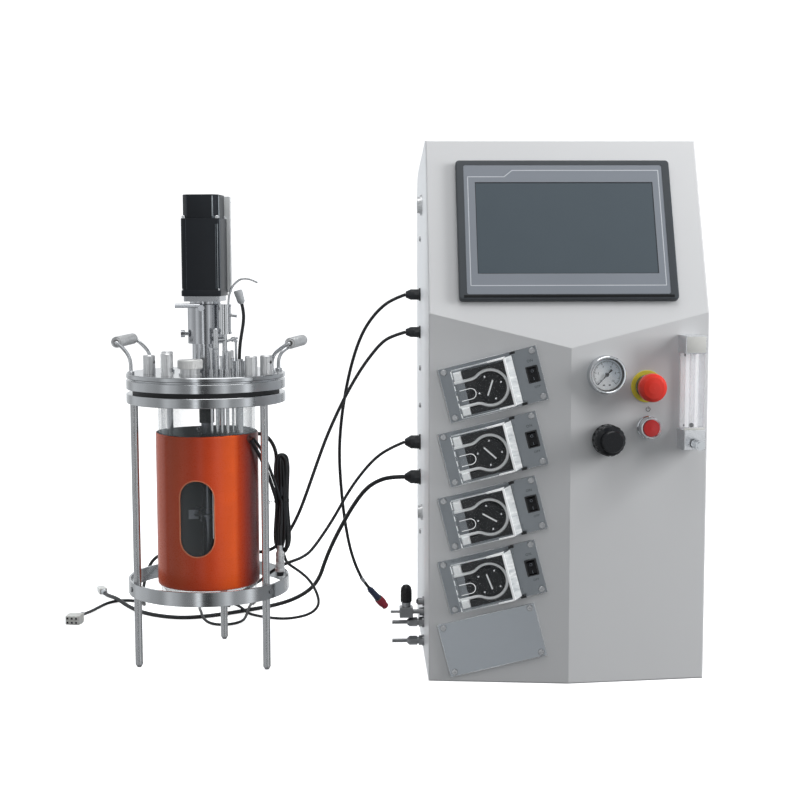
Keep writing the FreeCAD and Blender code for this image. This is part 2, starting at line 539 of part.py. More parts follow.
def fitting(y, z, r_nut):
    p = lambda x: (x, y, z)
    hx = lambda x0, x1, r: prism([(x0, y + r * math.cos(math.radians(60 * k + 30)), z + r * math.sin(math.radians(60 * k + 30))) for k in range(6)],
                                 (x1 - x0, 0, 0))
    s = fuse(cyl(5.0, p(12), p(0.2)), cyl(7.6, p(0), p(-2.4)), hx(-2.4, -7.0, 6.8), cyl(4.6, p(-6.9), p(-9.0)), hx(-9.0, -20.0, r_nut),
             cone(r_nut * 0.86, 4.0, p(-20.0), p(-22.5)), cyl(2.6, p(-22.4), p(-43.0)))
    return s.cut(cyl(1.7, p(-44), p(-18)))


HOSE = ((131.0, 43.5), (131.0, 18.0))
for y, z in HOSE:
    add("side_fittings", fitting(y, z, 6.4))
# needle valve: block with a pipe to the wall and a small barb, bonnet, turning knob above
VYV, VZV, VXV = 131.0, 57.8, -24.0
blk = box(VXV - 9, VXV + 9, VYV - 8, VYV + 8, VZV - 7.0, VZV + 7.0)
blk = fillet(blk, 0.8, lambda e: True)
vb = fuse(blk, cyl(3.0, (VXV + 8, VYV, VZV), (-6.0, VYV, VZV)), cyl(5.6, (-6.2, VYV, VZV), (-1.6, VYV, VZV)), cyl(6.2, (-1.8, VYV, VZV), (0, VYV, VZV)),
          cyl(1.8, (VXV - 8.8, VYV, VZV), (VXV - 21, VYV, VZV)), cyl(6.2, (VXV, VYV, VZV + 6.8), (VXV, VYV, VZV + 13.0)))
vb = vb.cut(cyl(3.3, (VXV, VYV, VZV), (VXV, VYV, VZV + 14)))
add("side_fittings", vb)
el = fuse(cyl(5.0, (12, VYV, VZV + 14), (0.2, VYV, VZV + 14)), cyl(6.6, (0, VYV, VZV + 14), (-2.0, VYV, VZV + 14)),
          cyl(4.6, (-1.9, VYV, VZV + 14), (-8.0, VYV, VZV + 14)), cone(4.6, 2.4, (-8.0, VYV, VZV + 14), (-10.5, VYV, VZV + 14)))
add("side_fittings", el)
vk = revolve([(0, VZV + 0.6), (3.25, VZV + 0.6), (3.25, VZV + 13.6), (7.2, VZV + 13.6), (7.6, VZV + 15.0), (7.6, VZV + 29.0), (6.6, VZV + 33.5),
              (4.0, VZV + 36.6), (0, VZV + 37.6)], VXV, VYV)
for k in range(12):
    a = math.radians(30 * k)
    vk = vk.cut(zcyl(0.8, VXV + 7.9 * math.cos(a), VYV + 7.9 * math.sin(a), VZV + 14.6, VZV + 26))
add("valve_knob", vk)

# ---------------------------------------------------------------------------
# vessel
# ---------------------------------------------------------------------------
vz = lambda r, z0, z1, dx=0.0, dy=0.0: zcyl(r, VX + dx, VY + dy, z0, z1)
SUP_Z0, SUP_Z1 = 346.7, 359.0
CLA_Z0, CLA_Z1 = 364.8, 376.7


def polar(r, a):
    return VX + r * math.sin(math.radians(a)), VY - r * math.cos(math.radians(a))


for a in LEG_ANGLES:
    x, y = polar(LEG_R, a)
    leg = fuse(zcyl(LEG_D / 2, x, y, 4.0, SUP_Z0), Part.makeCone(2.6, LEG_D / 2, 4.0, V(x, y, 0)))
    add("stand_legs", leg)
band = revolve([(LEG_R + LEG_D / 2 + 0.05, RING_Z0), (106.0, RING_Z0), (106.0, RING_Z1), (LEG_R + LEG_D / 2 + 0.05, RING_Z1)], VX, VY)
band = fillet(band, 0.5, lambda e: True)
rings = []
for a in LEG_ANGLES:
    x0, y0 = polar(LEG_R + LEG_D / 2 - 0.3, a)
    x1, y1 = polar(107.2, a)
    x2, y2 = polar(106.0, a)
    band = fuse(band, cyl(3.4, (x2, y2, 104.1), (x1, y1, 104.1)))
add("stand_rings", band)
sup = revolve([(66.0, SUP_Z0), (PLATE_R - 0.6, SUP_Z0), (PLATE_R, SUP_Z0 + 0.6), (PLATE_R, SUP_Z1 - 0.6), (PLATE_R - 0.6, SUP_Z1), (66.0, SUP_Z1)], VX, VY)
add("stand_rings", sup)
cla = revolve([(93.0, CLA_Z0), (PLATE_R - 0.6, CLA_Z0), (PLATE_R, CLA_Z0 + 0.6), (PLATE_R, CLA_Z1 - 0.6), (PLATE_R - 0.6, CLA_Z1), (70.0, CLA_Z1),
               (70.0, 371.6), (93.0, 371.6)], VX, VY)
add("clamp_flange", cla)
seal = revolve([(64.6, SUP_Z1), (96.0, SUP_Z1), (96.0, CLA_Z0), (92.8, CLA_Z0), (92.8, 371.5), (66.0, 371.5), (66.0, 369.3), (90.4, 369.3),
                (90.4, 360.6), (64.6, 360.6)], VX, VY)
add("vessel_seal", seal)
gl = revolve([(0, 92.0), (57.6, 92.0), (61.2, 93.2), (63.1, 96.2), (GLASS_R, 99.2), (GLASS_R, 360.7), (90.2, 360.7), (90.2, 369.2), (GLASS_R - GLASS_T, 369.2),
              (GLASS_R - GLASS_T, 98.8), (58.8, 97.2), (57.4, 96.5), (0, 96.5)], VX, VY)
add("glass_vessel", gl)
jk = revolve([(GLASS_R + 0.1, JACKET_Z0), (JACKET_R, JACKET_Z0), (JACKET_R, JACKET_Z1), (GLASS_R + 0.1, JACKET_Z1)], VX, VY)
# stadium window facing the front, a little to the left
WIN_A, WIN_R, WIN_Z0, WIN_Z1 = -7.1, 22.8, 150.5, 250.1
wx, wy = polar(80, WIN_A)
win = fuse(cyl(WIN_R, (wx, wy, WIN_Z0 + WIN_R), (VX + 20 * math.sin(math.radians(WIN_A)), VY - 20 * math.cos(math.radians(WIN_A)), WIN_Z0 + WIN_R)),
           cyl(WIN_R, (wx, wy, WIN_Z1 - WIN_R), (VX + 20 * math.sin(math.radians(WIN_A)), VY - 20 * math.cos(math.radians(WIN_A)), WIN_Z1 - WIN_R)),
           turn(box(VX - WIN_R, VX + WIN_R, VY - 80, VY - 20, WIN_Z0 + WIN_R, WIN_Z1 - WIN_R), (VX, VY, 0), (0, 0, 1), WIN_A))
jk = jk.cut(win)
jk = jk.cut(turn(box(VX - 0.6, VX + 0.6, VY + 50, VY + 80, JACKET_Z0 - 1, JACKET_Z1 + 1), (VX, VY, 0), (0, 0, 1), 0))
add("heating_jacket", jk)
# strap buckles that close the jacket at the back
for z in (150.0, 206.0, 262.0):
    add("heating_jacket", box(VX - 16, VX + 16, VY + 66.0, VY + 70.6, z - 7, z + 7)
        .cut(zcyl(JACKET_R + 0.1, VX, VY, z - 9, z + 9)))

# head plate with its ports
PORTS = dict(cap=(-15.5, -47.0), nut=((-71.5, -21.0), (-43.5, -60.0), (62.5, -45.0), (81.0, -32.0), (22.0, 78.0), (-58.0, 55.0)))
hp = revolve([(6.5, 376.7), (98.0, 376.7), (98.0, 379.1), (PLATE_R - 0.8, 379.1), (PLATE_R, 379.9), (PLATE_R, HEAD_Z - 1.0), (PLATE_R - 1.0, HEAD_Z), (6.5, HEAD_Z)], VX, VY)
COND = (27.0, -22.0)
DIPS = ((11.0, -40.0, 1.6, 170.0, 419.0), (17.5, -36.0, 2.2, 124.0, 416.5), (24.0, -41.0, 1.6, 150.0, 409.0), (31.0, -39.0, 2.2, 140.0, 413.0),
        (37.5, -31.5, 1.6, 190.0, 406.0), (41.0, -17.5, 1.6, 120.0, 428.0))
PROBE = (46.2, -28.9)
TEMP = (-49.0, 6.0)
holes = [vz(9.0, 370, 390, *PORTS["cap"])]
for n in PORTS["nut"]:
    holes.append(vz(4.0, 370, 390, *n))
holes.append(vz(3.2, 370, 390, *COND))
for d in DIPS:
    holes.append(vz(d[2], 370, 390, d[0], d[1]))
holes.append(vz(4.2, 370, 390, *PROBE))
holes.append(vz(4.2, 370, 390, *TEMP))
hp = hp.cut(Part.makeCompound(holes))
add("head_plate", hp)

# port neck and screw cap
cx, cy = VX + PORTS["cap"][0], VY + PORTS["cap"][1]
neck = revolve([(8.6, HEAD_Z), (14.6, HEAD_Z), (14.6, 387.2), (12.6, 387.2), (12.6, 393.0), (8.6, 393.0)], cx, cy)
neck = fuse(neck, revolve([(8.6, 377.0), (8.98, 377.0), (8.98, HEAD_Z + 0.1), (8.6, HEAD_Z + 0.1)], cx, cy))
add("head_fittings", neck)
pc = revolve([(0, 393.1), (15.6, 393.1), (16.2, 393.8), (16.2, 403.6), (15.0, 404.8), (0, 404.8)], cx, cy)
pc = fuse(pc, revolve([(0, 386.0), (8.2, 386.0), (8.2, 393.2), (0, 393.2)], cx, cy))
for k in range(36):
    a = math.radians(10 * k)
    pc = pc.cut(zcyl(0.5, cx + 16.4 * math.cos(a), cy + 16.4 * math.sin(a), 394.5, 403.0))
add("port_cap", pc)

# clamp nuts with a tommy-bar hole, on studs through the plate
for k, (dx, dy) in enumerate(PORTS["nut"]):
    x, y = VX + dx, VY + dy
    low = k == 1
    z0 = HEAD_Z
    parts = []
    n = revolve([(0, z0), (8.0, z0), (8.0, z0 + 22.6), (7.0, z0 + 23.8), (0, z0 + 23.8)], x, y)
    if low:
        n = revolve([(0, z0), (7.6, z0), (7.6, z0 + 4.0), (5.6, z0 + 4.0), (5.6, z0 + 10.0), (7.9, z0 + 10.0), (7.9, z0 + 27.4), (6.8, z0 + 28.6), (0, z0 + 28.6)], x, y)
    n = fuse(n, zcyl(3.95, x, y, 376.8, z0 + 1))
    hz = z0 + (21.0 if low else 15.0)
    ha = math.radians((-25, 10, -10, -35, 40, 80)[k])
    n = n.cut(cyl(2.3, (x - 12 * math.cos(ha), y - 12 * math.sin(ha), hz), (x + 12 * math.cos(ha), y + 12 * math.sin(ha), hz)))
    add("head_fittings", n)

# stirrer drive on the plate axis
dh = revolve([(SHAFT_R + 0.06, HEAD_Z), (24.5, HEAD_Z), (24.5, 388.6), (17.5, 388.6), (17.5, 423.0), (23.0, 423.0), (23.0, 474.0), (20.0, 475.0),
              (20.0, 478.2), (18.0, 478.2), (18.0, 430.0), (SHAFT_R + 0.06, 426.0)], VX, VY)
dh = fuse(dh, cyl(2.9, (VX - 36, VY - 27.5, 473.0), (VX - 3.5, VY - 27.5, 473.0)),
          cyl(4.0, (VX - 2.0, VY - 31.5, 470.0), (VX - 2.0, VY - 20.0, 470.0)),
          cyl(2.4, (VX - 20.0, VY - 7.0, 436.0), (VX - 27.0, VY - 8.0, 436.0)), cyl(4.9, (VX - 26.0, VY - 8.0, 436.0), (VX - 31.5, VY - 8.6, 436.0)))
dh = dh.cut(cyl(1.6, (VX - 37, VY - 27.5, 473.0), (VX - 20, VY - 27.5, 473.0)))
add("drive_housing", dh)
MOT_A = -6.5
MS = 50.6


def turned(shape):
    return turn(shape, (VX, VY, 0), (0, 0, 1), MOT_A)


ad = box(VX - 23.6, VX + 23.6, VY - 23.6, VY + 23.6, 478.2, 484.9)
ad = fillet(ad, 3.0, lambda e: abs(e.tangentAt(e.FirstParameter).z) > 0.9)
ad = ad.cut(vz(14.0, 477, 486))
add("drive_housing", turned(ad))
mo = box(VX - MS / 2, VX + MS / 2, VY - MS / 2, VY + MS / 2, 484.9, 585.5)
mo = fillet(mo, 3.0, lambda e: abs(e.tangentAt(e.FirstParameter).z) > 0.9)
fl = fillet(box(VX - 25.9, VX + 25.9, VY - 25.9, VY + 25.9, 484.9, 493.0), 3.4, lambda e: abs(e.tangentAt(e.FirstParameter).z) > 0.9)
up = box(VX - MS / 2 + 1.6, VX + MS / 2 - 1.6, VY - MS / 2 + 1.6, VY + MS / 2 - 1.6, 585.0, 616.0)
up = fillet(up, 6.0, lambda e: abs(e.tangentAt(e.FirstParameter).z) > 0.9)
up = fillet(up, 1.0, lambda e: e.CenterOfMass.z > 615.9)
mo = fuse(mo, fl, up)
mo = mo.cut(vz(4.2, 480, 500))
for sx in (-1, 1):
    for sy in (-1, 1):
        mo = fuse(mo, zcyl(2.6, VX + sx * 21.6, VY + sy * 21.6, 585.4, 588.0))
add("stirrer_motor", turned(mo))
sp = box(VX - 20.0, VX + 29.8, VY + MS / 2 + 0.8, VY + MS / 2 + 6.4, 489.0, 615.2)
sp = fillet(sp, 1.2, lambda e: abs(e.tangentAt(e.FirstParameter).z) > 0.9)
add("stirrer_motor", turned(sp))

# stirrer: shaft, coupling hub, sleeve under the plate, two bladed discs
st = fuse(vz(SHAFT_R, 108.0, 468.0), vz(11.5, 438.0, 466.0), vz(9.6, 318.0, 345.5), vz(7.6, 296.0, 318.2),
          cyl(2.2, (VX, VY, 309), (VX - 11.5, VY - 1.0, 309)))
for z in (128.0, 196.0):
    st = fuse(st, vz(10.0, z - 8, z + 8), vz(19.0, z - 0.9, z + 0.9))
    for k in range(6):
        a = 60 * k + 15
        st = fuse(st, turn(box(VX + 13.0, VX + 26.0, VY - 0.8, VY + 0.8, z - 6.0, z + 6.0), (VX, VY, 0), (0, 0, 1), a))
add("stirrer", st)

# dip tubes, temperature well and electrode
for dx, dy, r, zb, zt in DIPS:
    add("probes", fuse(vz(r, zb, zt, dx, dy), vz(r + 1.1, HEAD_Z, HEAD_Z + 6.5, dx, dy), vz(r + 0.7, zt - 3.0, zt, dx, dy)))
tw_ = fuse(vz(4.15, 126.0, 391.0, *TEMP), vz(7.0, HEAD_Z, 388.2, *TEMP), vz(5.4, 388.0, 395.0, *TEMP))
add("probes", tw_)
pr = fuse(vz(4.15, 140.0, HEAD_Z + 1, *PROBE), vz(8.4, HEAD_Z, 387.6, *PROBE), vz(7.4, 387.5, 401.5, *PROBE), vz(5.0, 401.4, 404.0, *PROBE))
add("probes", pr)
px, py = VX + PROBE[0], VY + PROBE[1]
lead = tube([(px, py, 404.0), (px + 0.6, py, 420.0), (px + 3.4, py + 0.5, 437.0), (px + 6.0, py + 1.0, 452.0), (px + 6.2, py + 1.5, 465.5), (px + 3.4, py + 2.0, 477.5)], 4.4, "electrode_lead")
add("electrode_lead", lead)
plug = cone(4.9, 5.9, (px + 3.3, py + 2.0, 477.8), (px - 1.2, py + 2.6, 492.8))
add("cable_connectors", plug)

# exhaust condenser with its elbow and outlet tube
x, y = VX + COND[0], VY + COND[1]
cd = fuse(zcyl(3.2, x, y, 376.8, 438.0), zcyl(5.2, x, y, HEAD_Z, HEAD_Z + 5.5), zcyl(8.6, x, y, 436.0, 474.0), zcyl(9.3, x, y, 436.0, 439.0), zcyl(9.3, x, y, 471.5, 474.6))
cd = fuse(cd, cyl(3.0, (x, y, 429.0), (x - 10.5, y - 8.5, 429.0)), zcyl(3.4, x - 10.5, y - 8.5, 418.0, 441.0), Part.makeSphere(3.6, V(x - 10.5, y - 8.5, 441.0)),
          cyl(2.2, (x, y, 462.0), (x + 16.5, y - 3.0, 459.5)), cyl(1.6, (x, y, 426.0), (x + 17.0, y - 5.0, 431.0)), cyl(3.0, (x + 9.0, y - 2.6, 428.7), (x + 14.0, y - 4.1, 430.2)))
ex = tube([(x + 5.0, y + 2.5, 474.0), (x + 6.0, y + 3.5, 486.0), (x + 10.5, y + 5.0, 498.5), (x + 21.0, y + 6.0, 507.5), (x + 32.0, y + 6.5, 507.5), (x + 43.0, y + 7.0, 502.5)], 2.8, "outlet tube")
add("exhaust_condenser", fuse(cd, ex))


# lifting handles: two rods that bend outwards to a bar with a ribbed grip
def handle(b0, b1, g0, g1, z):
    def P(p, zz):
        return (VX + p[0], VY + p[1], zz)

    def mix(p, q, t):
        return (p[0] + (q[0] - p[0]) * t, p[1] + (q[1] - p[1]) * t)
    legs = [tube([P(b, HEAD_Z), P(b, HEAD_Z + 13), P(mix(b, g, 0.14), HEAD_Z + 25), P(mix(b, g, 0.6), z - 5.0), P(g, z)], 5.0) for b, g in ((b0, g0), (b1, g1))]
    feet = [cyl(4.6, P(b, HEAD_Z), P(b, HEAD_Z + 3.2)) for b in (b0, b1)]
    ends = [Part.makeSphere(2.9, V(*P(g, z))) for g in (g0, g1)]
    bar = cyl(2.5, P(g0, z), P(g1, z))
    rod = fuse(legs[0], legs[1], bar, *feet, *ends)
    n0, n1 = mix(g0, g1, 0.04), mix(g0, g1, 0.96)
    grip = cyl(7.4, P(n0, z), P(n1, z)).cut(cyl(2.9, P(g0, z), P(g1, z)))
    return rod, grip


for args in (((-94.0, -30.0), (-80.0, 52.0), (-112.0, -36.0), (-103.0, 56.0), 426.5),
             ((87.5, -18.0), (94.0, 22.0), (111.6, -40.0), (126.0, 42.0), 424.5)):
    rod, grip = handle(*args)
    add("lifting_handles", rod, grip)

# lead outlet of the heating jacket
JX, JY = 0.776, 0.6307
add("heating_jacket", cyl(4.6, (VX + 67.6 * JX, VY + 67.6 * JY, 297.0), (VX + 71.7 * JX, VY + 71.7 * JY, 297.0)))

KXJ, KYJ = 0.8666, -0.4985
add("heating_jacket", cyl(5.8, (VX + 67.6 * KXJ, VY + 67.6 * KYJ, 299.6), (VX + 71.7 * KXJ, VY + 71.7 * KYJ, 299.6)))

# ---------------------------------------------------------------------------
# cables: each a run of straight pieces and tangent arcs
# ---------------------------------------------------------------------------
CABLES = [
    ("sensor_cable", 4.6, [
      (-20.6, 236, 483), (-33, 237, 478.6), (-49.3, 243, 469.6), (-66.1, 249, 452.7), (-81.7, 255, 428.5), (-94.6, 262, 392.7), (-104.8, 270, 349.3),
      (-112.3, 280, 301.5), (-115.7, 291, 252.9), (-113.3, 303, 199.8), (-107.9, 317, 145.4), (-99.4, 331, 97.5), (-86.1, 345, 59.5),
      (-72.7, 356, 38.5), (-59.5, 363, 22)]),
    ("signal_cable", 4.6, [
      (-20.6, 236, 430.6), (-35.6, 236, 426.5), (-52.4, 235, 418.2), (-69.3, 232, 398.9), (-86.2, 228, 375.4), (-103.1, 224, 346.4),
      (-117.1, 220, 318.8), (-132.6, 216, 284.3), (-145.3, 212, 249.8), (-158, 208, 213.9), (-169.9, 206, 181.9), (-182.7, 204, 156.9),
      (-195.9, 201, 139.2), (-214, 199, 127.8), (-238.9, 198, 126.8), (-262, 199, 124), (-300, 201, 124), (-335, 207, 124.5), (-360, 215, 123),
      (-376, 226, 114), (-388, 242, 94), (-397, 268, 68), (-404, 302, 44), (-409, 340, 25), (-413, 378, 11), (-417.5, 404, 4.8), (-426, 427, 2.5),
      (-442.5, 441.5, 2.5), (-463.5, 440.5, 2.5), (-478, 425, 2.5), (-486.5, 397, 2.5), (-493, 371, 2.9), (-499, 347, 4.8), (-503, 324, 7.2)]),
    ("supply_cable", 4.2, [
      (-22.1, 236, 275.6), (-40.2, 234, 268.7), (-62.9, 230, 255.2), (-85.5, 224, 230.7), (-103.8, 217, 205), (-120.7, 209, 175.3),
      (-138.8, 199, 149), (-154, 182, 131), (-165, 167, 126), (-174, 153, 125), (-187, 146, 122), (-202, 147, 113.5),
      (-214, 154.5, 103.5), (-223, 167, 94), (-231, 184, 86), (-241, 208, 76), (-252, 240, 63), (-260, 290, 46), (-266, 335, 30), (-270, 372, 19),
      (-272.8, 396, 11.5), (-275, 412.6, 7.5), (-283, 425.8, 4.8), (-296.6, 432.6, 3.2), (-312.6, 431.2, 2.7), (-325.8, 422, 2.7),
      (-332, 407.4, 2.7), (-331, 385, 3.2), (-327.5, 358, 7.5), (-323, 333, 10.8), (-318.5, 312, 6.5), (-307.8, 292.6, 3.3), (-292, 283.6, 2.7),
      (-275.9, 285.9, 2.7), (-263.6, 296.2, 2.7), (-257.4, 312, 3), (-255, 331, 6), (-253.5, 352, 10.5), (-252.6, 374, 10.5), (-252, 396, 6),
      (-251.5, 416, 4.2)]),
    ("lead_cable", 6.0, [
      (-22.1, 236, 226), (-40.2, 239, 225.4), (-58.5, 247, 219.8), (-77, 260, 206.1), (-94.3, 276, 180.5), (-110.6, 295, 149.4),
      (-125.7, 318, 116.9), (-138.3, 341, 83.6), (-147.3, 364, 52.7), (-163.3, 386, 28.5), (-191.2, 402.9, 9.6), (-221.3, 394.2, 3.3),
      (-258.9, 366.9, 3.2), (-298.7, 340.6, 3.2), (-340, 324.1, 3.2), (-374.9, 331.4, 3.2), (-412.8, 357.2, 3.2), (-441, 392.5, 5), (-462, 424, 9.6),
      (-477.8, 450.4, 7.4), (-488, 474, 4.4), (-495, 492, 5.2)]),
    ("jacket_lead:to hank", 5.0, [
      (-231.8, 163.8, 297), (-222, 169, 297.5), (-211, 172, 292), (-203, 170.5, 281), (-199, 167.5, 268)]),
    ("jacket_lead:tail", 5.0, [
      (-192.3, 156.9, 206), (-192.4, 152.5, 196), (-192.7, 147, 184), (-193.1, 140.5, 170), (-193.5, 134.5, 157), (-193.6, 131.5, 143)]),
    ("jacket_lead:sensor to hank", 4.0, [
      (-224, 85, 300), (-218.6, 89.3, 293), (-212.5, 97.5, 279.8), (-207, 111, 262.8), (-202, 127, 243.8), (-198.1, 142, 226.8), (-194.5, 158.2, 208.8)]),
    ("jacket_lead:second to hank", 5.0, [
      (-226.6, 80.4, 299), (-223.5, 84.4, 291.2), (-217.7, 97.3, 277.9), (-211.9, 111, 261.1), (-206.6, 127, 242.3), (-202.7, 142, 225.3), (-199.1, 158.2, 207.3)]),
    ("jacket_lead:temperature", 4.0, [
      (-190.5, 177.5, 146.7), (-192.3, 182, 130.4), (-187.6, 188, 114.3), (-179.4, 197, 106), (-168.9, 212, 95), (-159.9, 232, 81.7),
      (-152.9, 256, 65.3), (-147.4, 282, 44.5), (-146.6, 302, 27.7), (-153.6, 312, 14.8), (-168.7, 318, 5.9), (-196, 315.5, 2.3),
      (-223.2, 325.5, 2.3), (-240, 337.5, 2.3), (-254, 350.5, 2.3), (-266, 362.5, 9.4), (-276, 376, 10.8), (-284, 390, 7.5), (-291, 401, 4.4)]),
]
for name, dia, pts in CABLES:
    add(name.split(":")[0], tube(pts, dia, name))

# spare length of the jacket lead, tied in a hank
HX, HY = -192.2, 165.0
add("jacket_hank", revolve([(0, 129.0), (5.6, 130.4), (10.2, 134.6), (12.4, 142.0), (12.8, 150.0), (12.0, 172.0), (9.4, 202.0), (10.6, 230.0), (11.8, 252.0), (10.6, 263.0),
                            (6.8, 270.4), (0, 273.0)], HX, HY))


def plug_block(p, d, w, h, length, r=1.2):
    """Rectangular connector from p along the flat direction d."""
    n = math.hypot(d[0], d[1])
    ux, uy = d[0] / n, d[1] / n
    b = box(0, length, -w / 2, w / 2, -h / 2, h / 2)
    b = fillet(b, r, lambda e: True)
    b.rotate(V(0, 0, 0), V(0, 0, 1), math.degrees(math.atan2(uy, ux)))
    b.translate(V(*p))
    return b


def plug_round(p, d, radii):
    """Round connector: radii is a list of (distance along, radius)."""
    u = V(*d)
    u.normalize()
    s = None
    for (a, ra), (b, rb) in zip(radii[:-1], radii[1:]):
        if b - a < 1e-6:
            continue
        q0, q1 = V(*p) + u * a, V(*p) + u * b
        c = Part.makeCylinder(ra, b - a, q0, u) if abs(ra - rb) < 1e-6 else Part.makeCone(ra, rb, b - a, q0, u)
        s = c if s is None else s.fuse(c)
    return s.removeSplitter()


def last(name):
    pts = [c[2] for c in CABLES if c[0] == name][0]
    a, b = V(*pts[-2]), V(*pts[-1])
    return pts[-1], (b.x - a.x, b.y - a.y, b.z - a.z)


p, d = last("sensor_cable")
add("cable_connectors", plug_round(p, d, [(0, 3.4), (2.0, 4.6), (13.0, 4.6), (13.0, 3.9), (21.0, 3.6)]))
p, d = last("signal_cable")
add("cable_connectors", plug_block(p, d, 22.0, 14.0, 27.0))
p, d = last("lead_cable")
add("cable_connectors", plug_block(p, d, 13.0, 9.6, 26.0))
p, d = last("supply_cable")
add("cable_connectors", plug_round(p, (d[0], d[1], 0), [(0, 3.0), (4.0, 4.1), (24.0, 4.1)]))
p, d = last("jacket_lead:temperature")
add("cable_connectors", plug_round(p, (d[0], d[1], 0), [(0, 2.8), (3.0, 4.2), (17.0, 4.2)]))
p, d = last("jacket_lead:tail")
add("cable_connectors", plug_round(p, (0, 0, -1), [(0, 3.6), (3.0, 5.8), (24.0, 5.8), (24.0, 6.9), (28.5, 6.9), (28.5, 4.6), (34.5, 4.6)]))

# ---------------------------------------------------------------------------
# write, in the object's own frame
# ---------------------------------------------------------------------------
def write():
    os.makedirs("parts", exist_ok=True)
    for f in os.listdir("parts"):
        if f.endswith(".step"):
            os.remove(os.path.join("parts", f))
    lo, hi = V(1e9, 1e9, 1e9), V(-1e9, -1e9, -1e9)
    for name, shapes in OUT.items():
        solids = []
        for s in shapes:
            solids.extend(s.Solids)
        if not solids:
            print("NO SOLID", name)
            continue
        out = solids[0] if len(solids) == 1 else Part.makeCompound(solids)
        out = out.copy()
        out.translate(V(OX, OY, 0))
        bad = [k for k, s in enumerate(out.Solids) if not s.isValid()]
        bb = out.BoundBox
        if bad:
            print("INVALID", name, bad)
        if name not in CORDS:
            lo = V(min(lo.x, bb.XMin), min(lo.y, bb.YMin), min(lo.z, bb.ZMin))
            hi = V(max(hi.x, bb.XMax), max(hi.y, bb.YMax), max(hi.z, bb.ZMax))
        out.exportStep(os.path.join("parts", name + ".step"))
    print("nodes", len(OUT), "box without cords", [round(c, 2) for c in (*lo, *hi)],
          "centre %.3f %.3f" % ((lo.x + hi.x) / 2, (lo.y + hi.y) / 2))


CORDS = {"sensor_cable", "signal_cable", "supply_cable", "lead_cable", "jacket_lead", "jacket_hank", "electrode_lead", "cable_connectors"}
write()
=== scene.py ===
import math

import bmesh
import bpy
from mathutils import Matrix, Vector


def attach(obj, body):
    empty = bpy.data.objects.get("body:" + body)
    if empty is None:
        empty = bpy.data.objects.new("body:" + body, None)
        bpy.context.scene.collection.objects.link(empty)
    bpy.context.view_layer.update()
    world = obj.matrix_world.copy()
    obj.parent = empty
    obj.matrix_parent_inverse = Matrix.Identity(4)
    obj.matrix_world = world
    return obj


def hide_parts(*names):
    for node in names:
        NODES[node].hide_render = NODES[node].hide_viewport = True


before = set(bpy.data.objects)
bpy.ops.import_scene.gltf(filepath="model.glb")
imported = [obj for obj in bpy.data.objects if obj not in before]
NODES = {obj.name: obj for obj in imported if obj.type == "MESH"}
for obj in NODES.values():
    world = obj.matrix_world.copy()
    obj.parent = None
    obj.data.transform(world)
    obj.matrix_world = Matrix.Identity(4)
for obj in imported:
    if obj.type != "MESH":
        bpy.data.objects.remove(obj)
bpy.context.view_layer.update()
ROOT = "bench_unit"
rad = math.radians

# ---------------------------------------------------------------------------
# the part's working frame in millimetres: X = 0 at the cabinet's left wall,
# Y = 0 at its front side edges, Z = 0 at the bench
# ---------------------------------------------------------------------------
SHIFT = (28.12, -149.36, 0.0)
TO_ROW = Matrix.Scale(0.001, 4) @ Matrix.Translation(SHIFT)


def R(x, y, z):
    return TO_ROW @ Vector((x, y, z))


def plane(origin, ux, vx):
    """Local x along ux, local y along vx, local z out of the surface."""
    u, v = Vector(ux).normalized(), Vector(vx).normalized()
    n = u.cross(v)
    o = Vector(origin)
    return Matrix(((u.x, v.x, n.x, o.x), (u.y, v.y, n.y, o.y), (u.z, v.z, n.z, o.z), (0, 0, 0, 1)))


CAB_W, RIDGE, FOLD_Z, TOP_Y, TOP_Z, CAB_D = 350.0, 19.3, 466.2, 97.6, 684.3, 350.0
FL = plane((0, 0, 0), (CAB_W / 2, -RIDGE, 0), (0, 0, 1))
FR = plane((CAB_W / 2, -RIDGE, 0), (CAB_W / 2, RIDGE, 0), (0, 0, 1))
_l = math.hypot(TOP_Y, TOP_Z - FOLD_Z)
SV = (0, TOP_Y / _l, (TOP_Z - FOLD_Z) / _l)
FS = plane((CAB_W / 2, SV[1] * 111.1, FOLD_Z + SV[2] * 111.1), (1, 0, 0), SV)
FW = plane((0, 0, 0), (0, -1, 0), (0, 0, 1))
FB = plane((175.0, CAB_D, 0), (-1, 0, 0), (0, 0, 1))
VX, VY = -287.5, 118.6


def plate_frame(i):
    return FL @ Matrix.Translation((80.2, 378.0 - 80.7 * i, 0)) @ Matrix.Rotation(rad(14.4), 4, "Z")


def polar(r, a):
    return VX + r * math.sin(rad(a)), VY - r * math.cos(rad(a))


# ---------------------------------------------------------------------------
# camera
# ---------------------------------------------------------------------------
cam_data = bpy.data.cameras.new("camera")
cam = bpy.data.objects.new("camera", cam_data)
bpy.context.scene.collection.objects.link(cam)
bpy.context.scene.camera = cam
cam_data.sensor_width = 36.0
cam_data.lens = 65.112
cam_data.clip_start, cam_data.clip_end = 0.05, 60.0
tilt, yaw, roll = rad(5.619), rad(1.652), rad(-0.122)
fwd = Vector((math.sin(yaw) * math.cos(tilt), math.cos(yaw) * math.cos(tilt), -math.sin(tilt)))
right = Vector((math.cos(yaw), -math.sin(yaw), 0.0))
up = right.cross(fwd)
r2 = right * math.cos(roll) + up * math.sin(roll)
u2 = up * math.cos(roll) - right * math.sin(roll)
eye = R(-87.127, -1788.393, 534.274)
cam.matrix_world = Matrix(((r2.x, u2.x, -fwd.x, eye.x), (r2.y, u2.y, -fwd.y, eye.y), (r2.z, u2.z, -fwd.z, eye.z), (0, 0, 0, 1)))

# ---------------------------------------------------------------------------
# materials
# ---------------------------------------------------------------------------


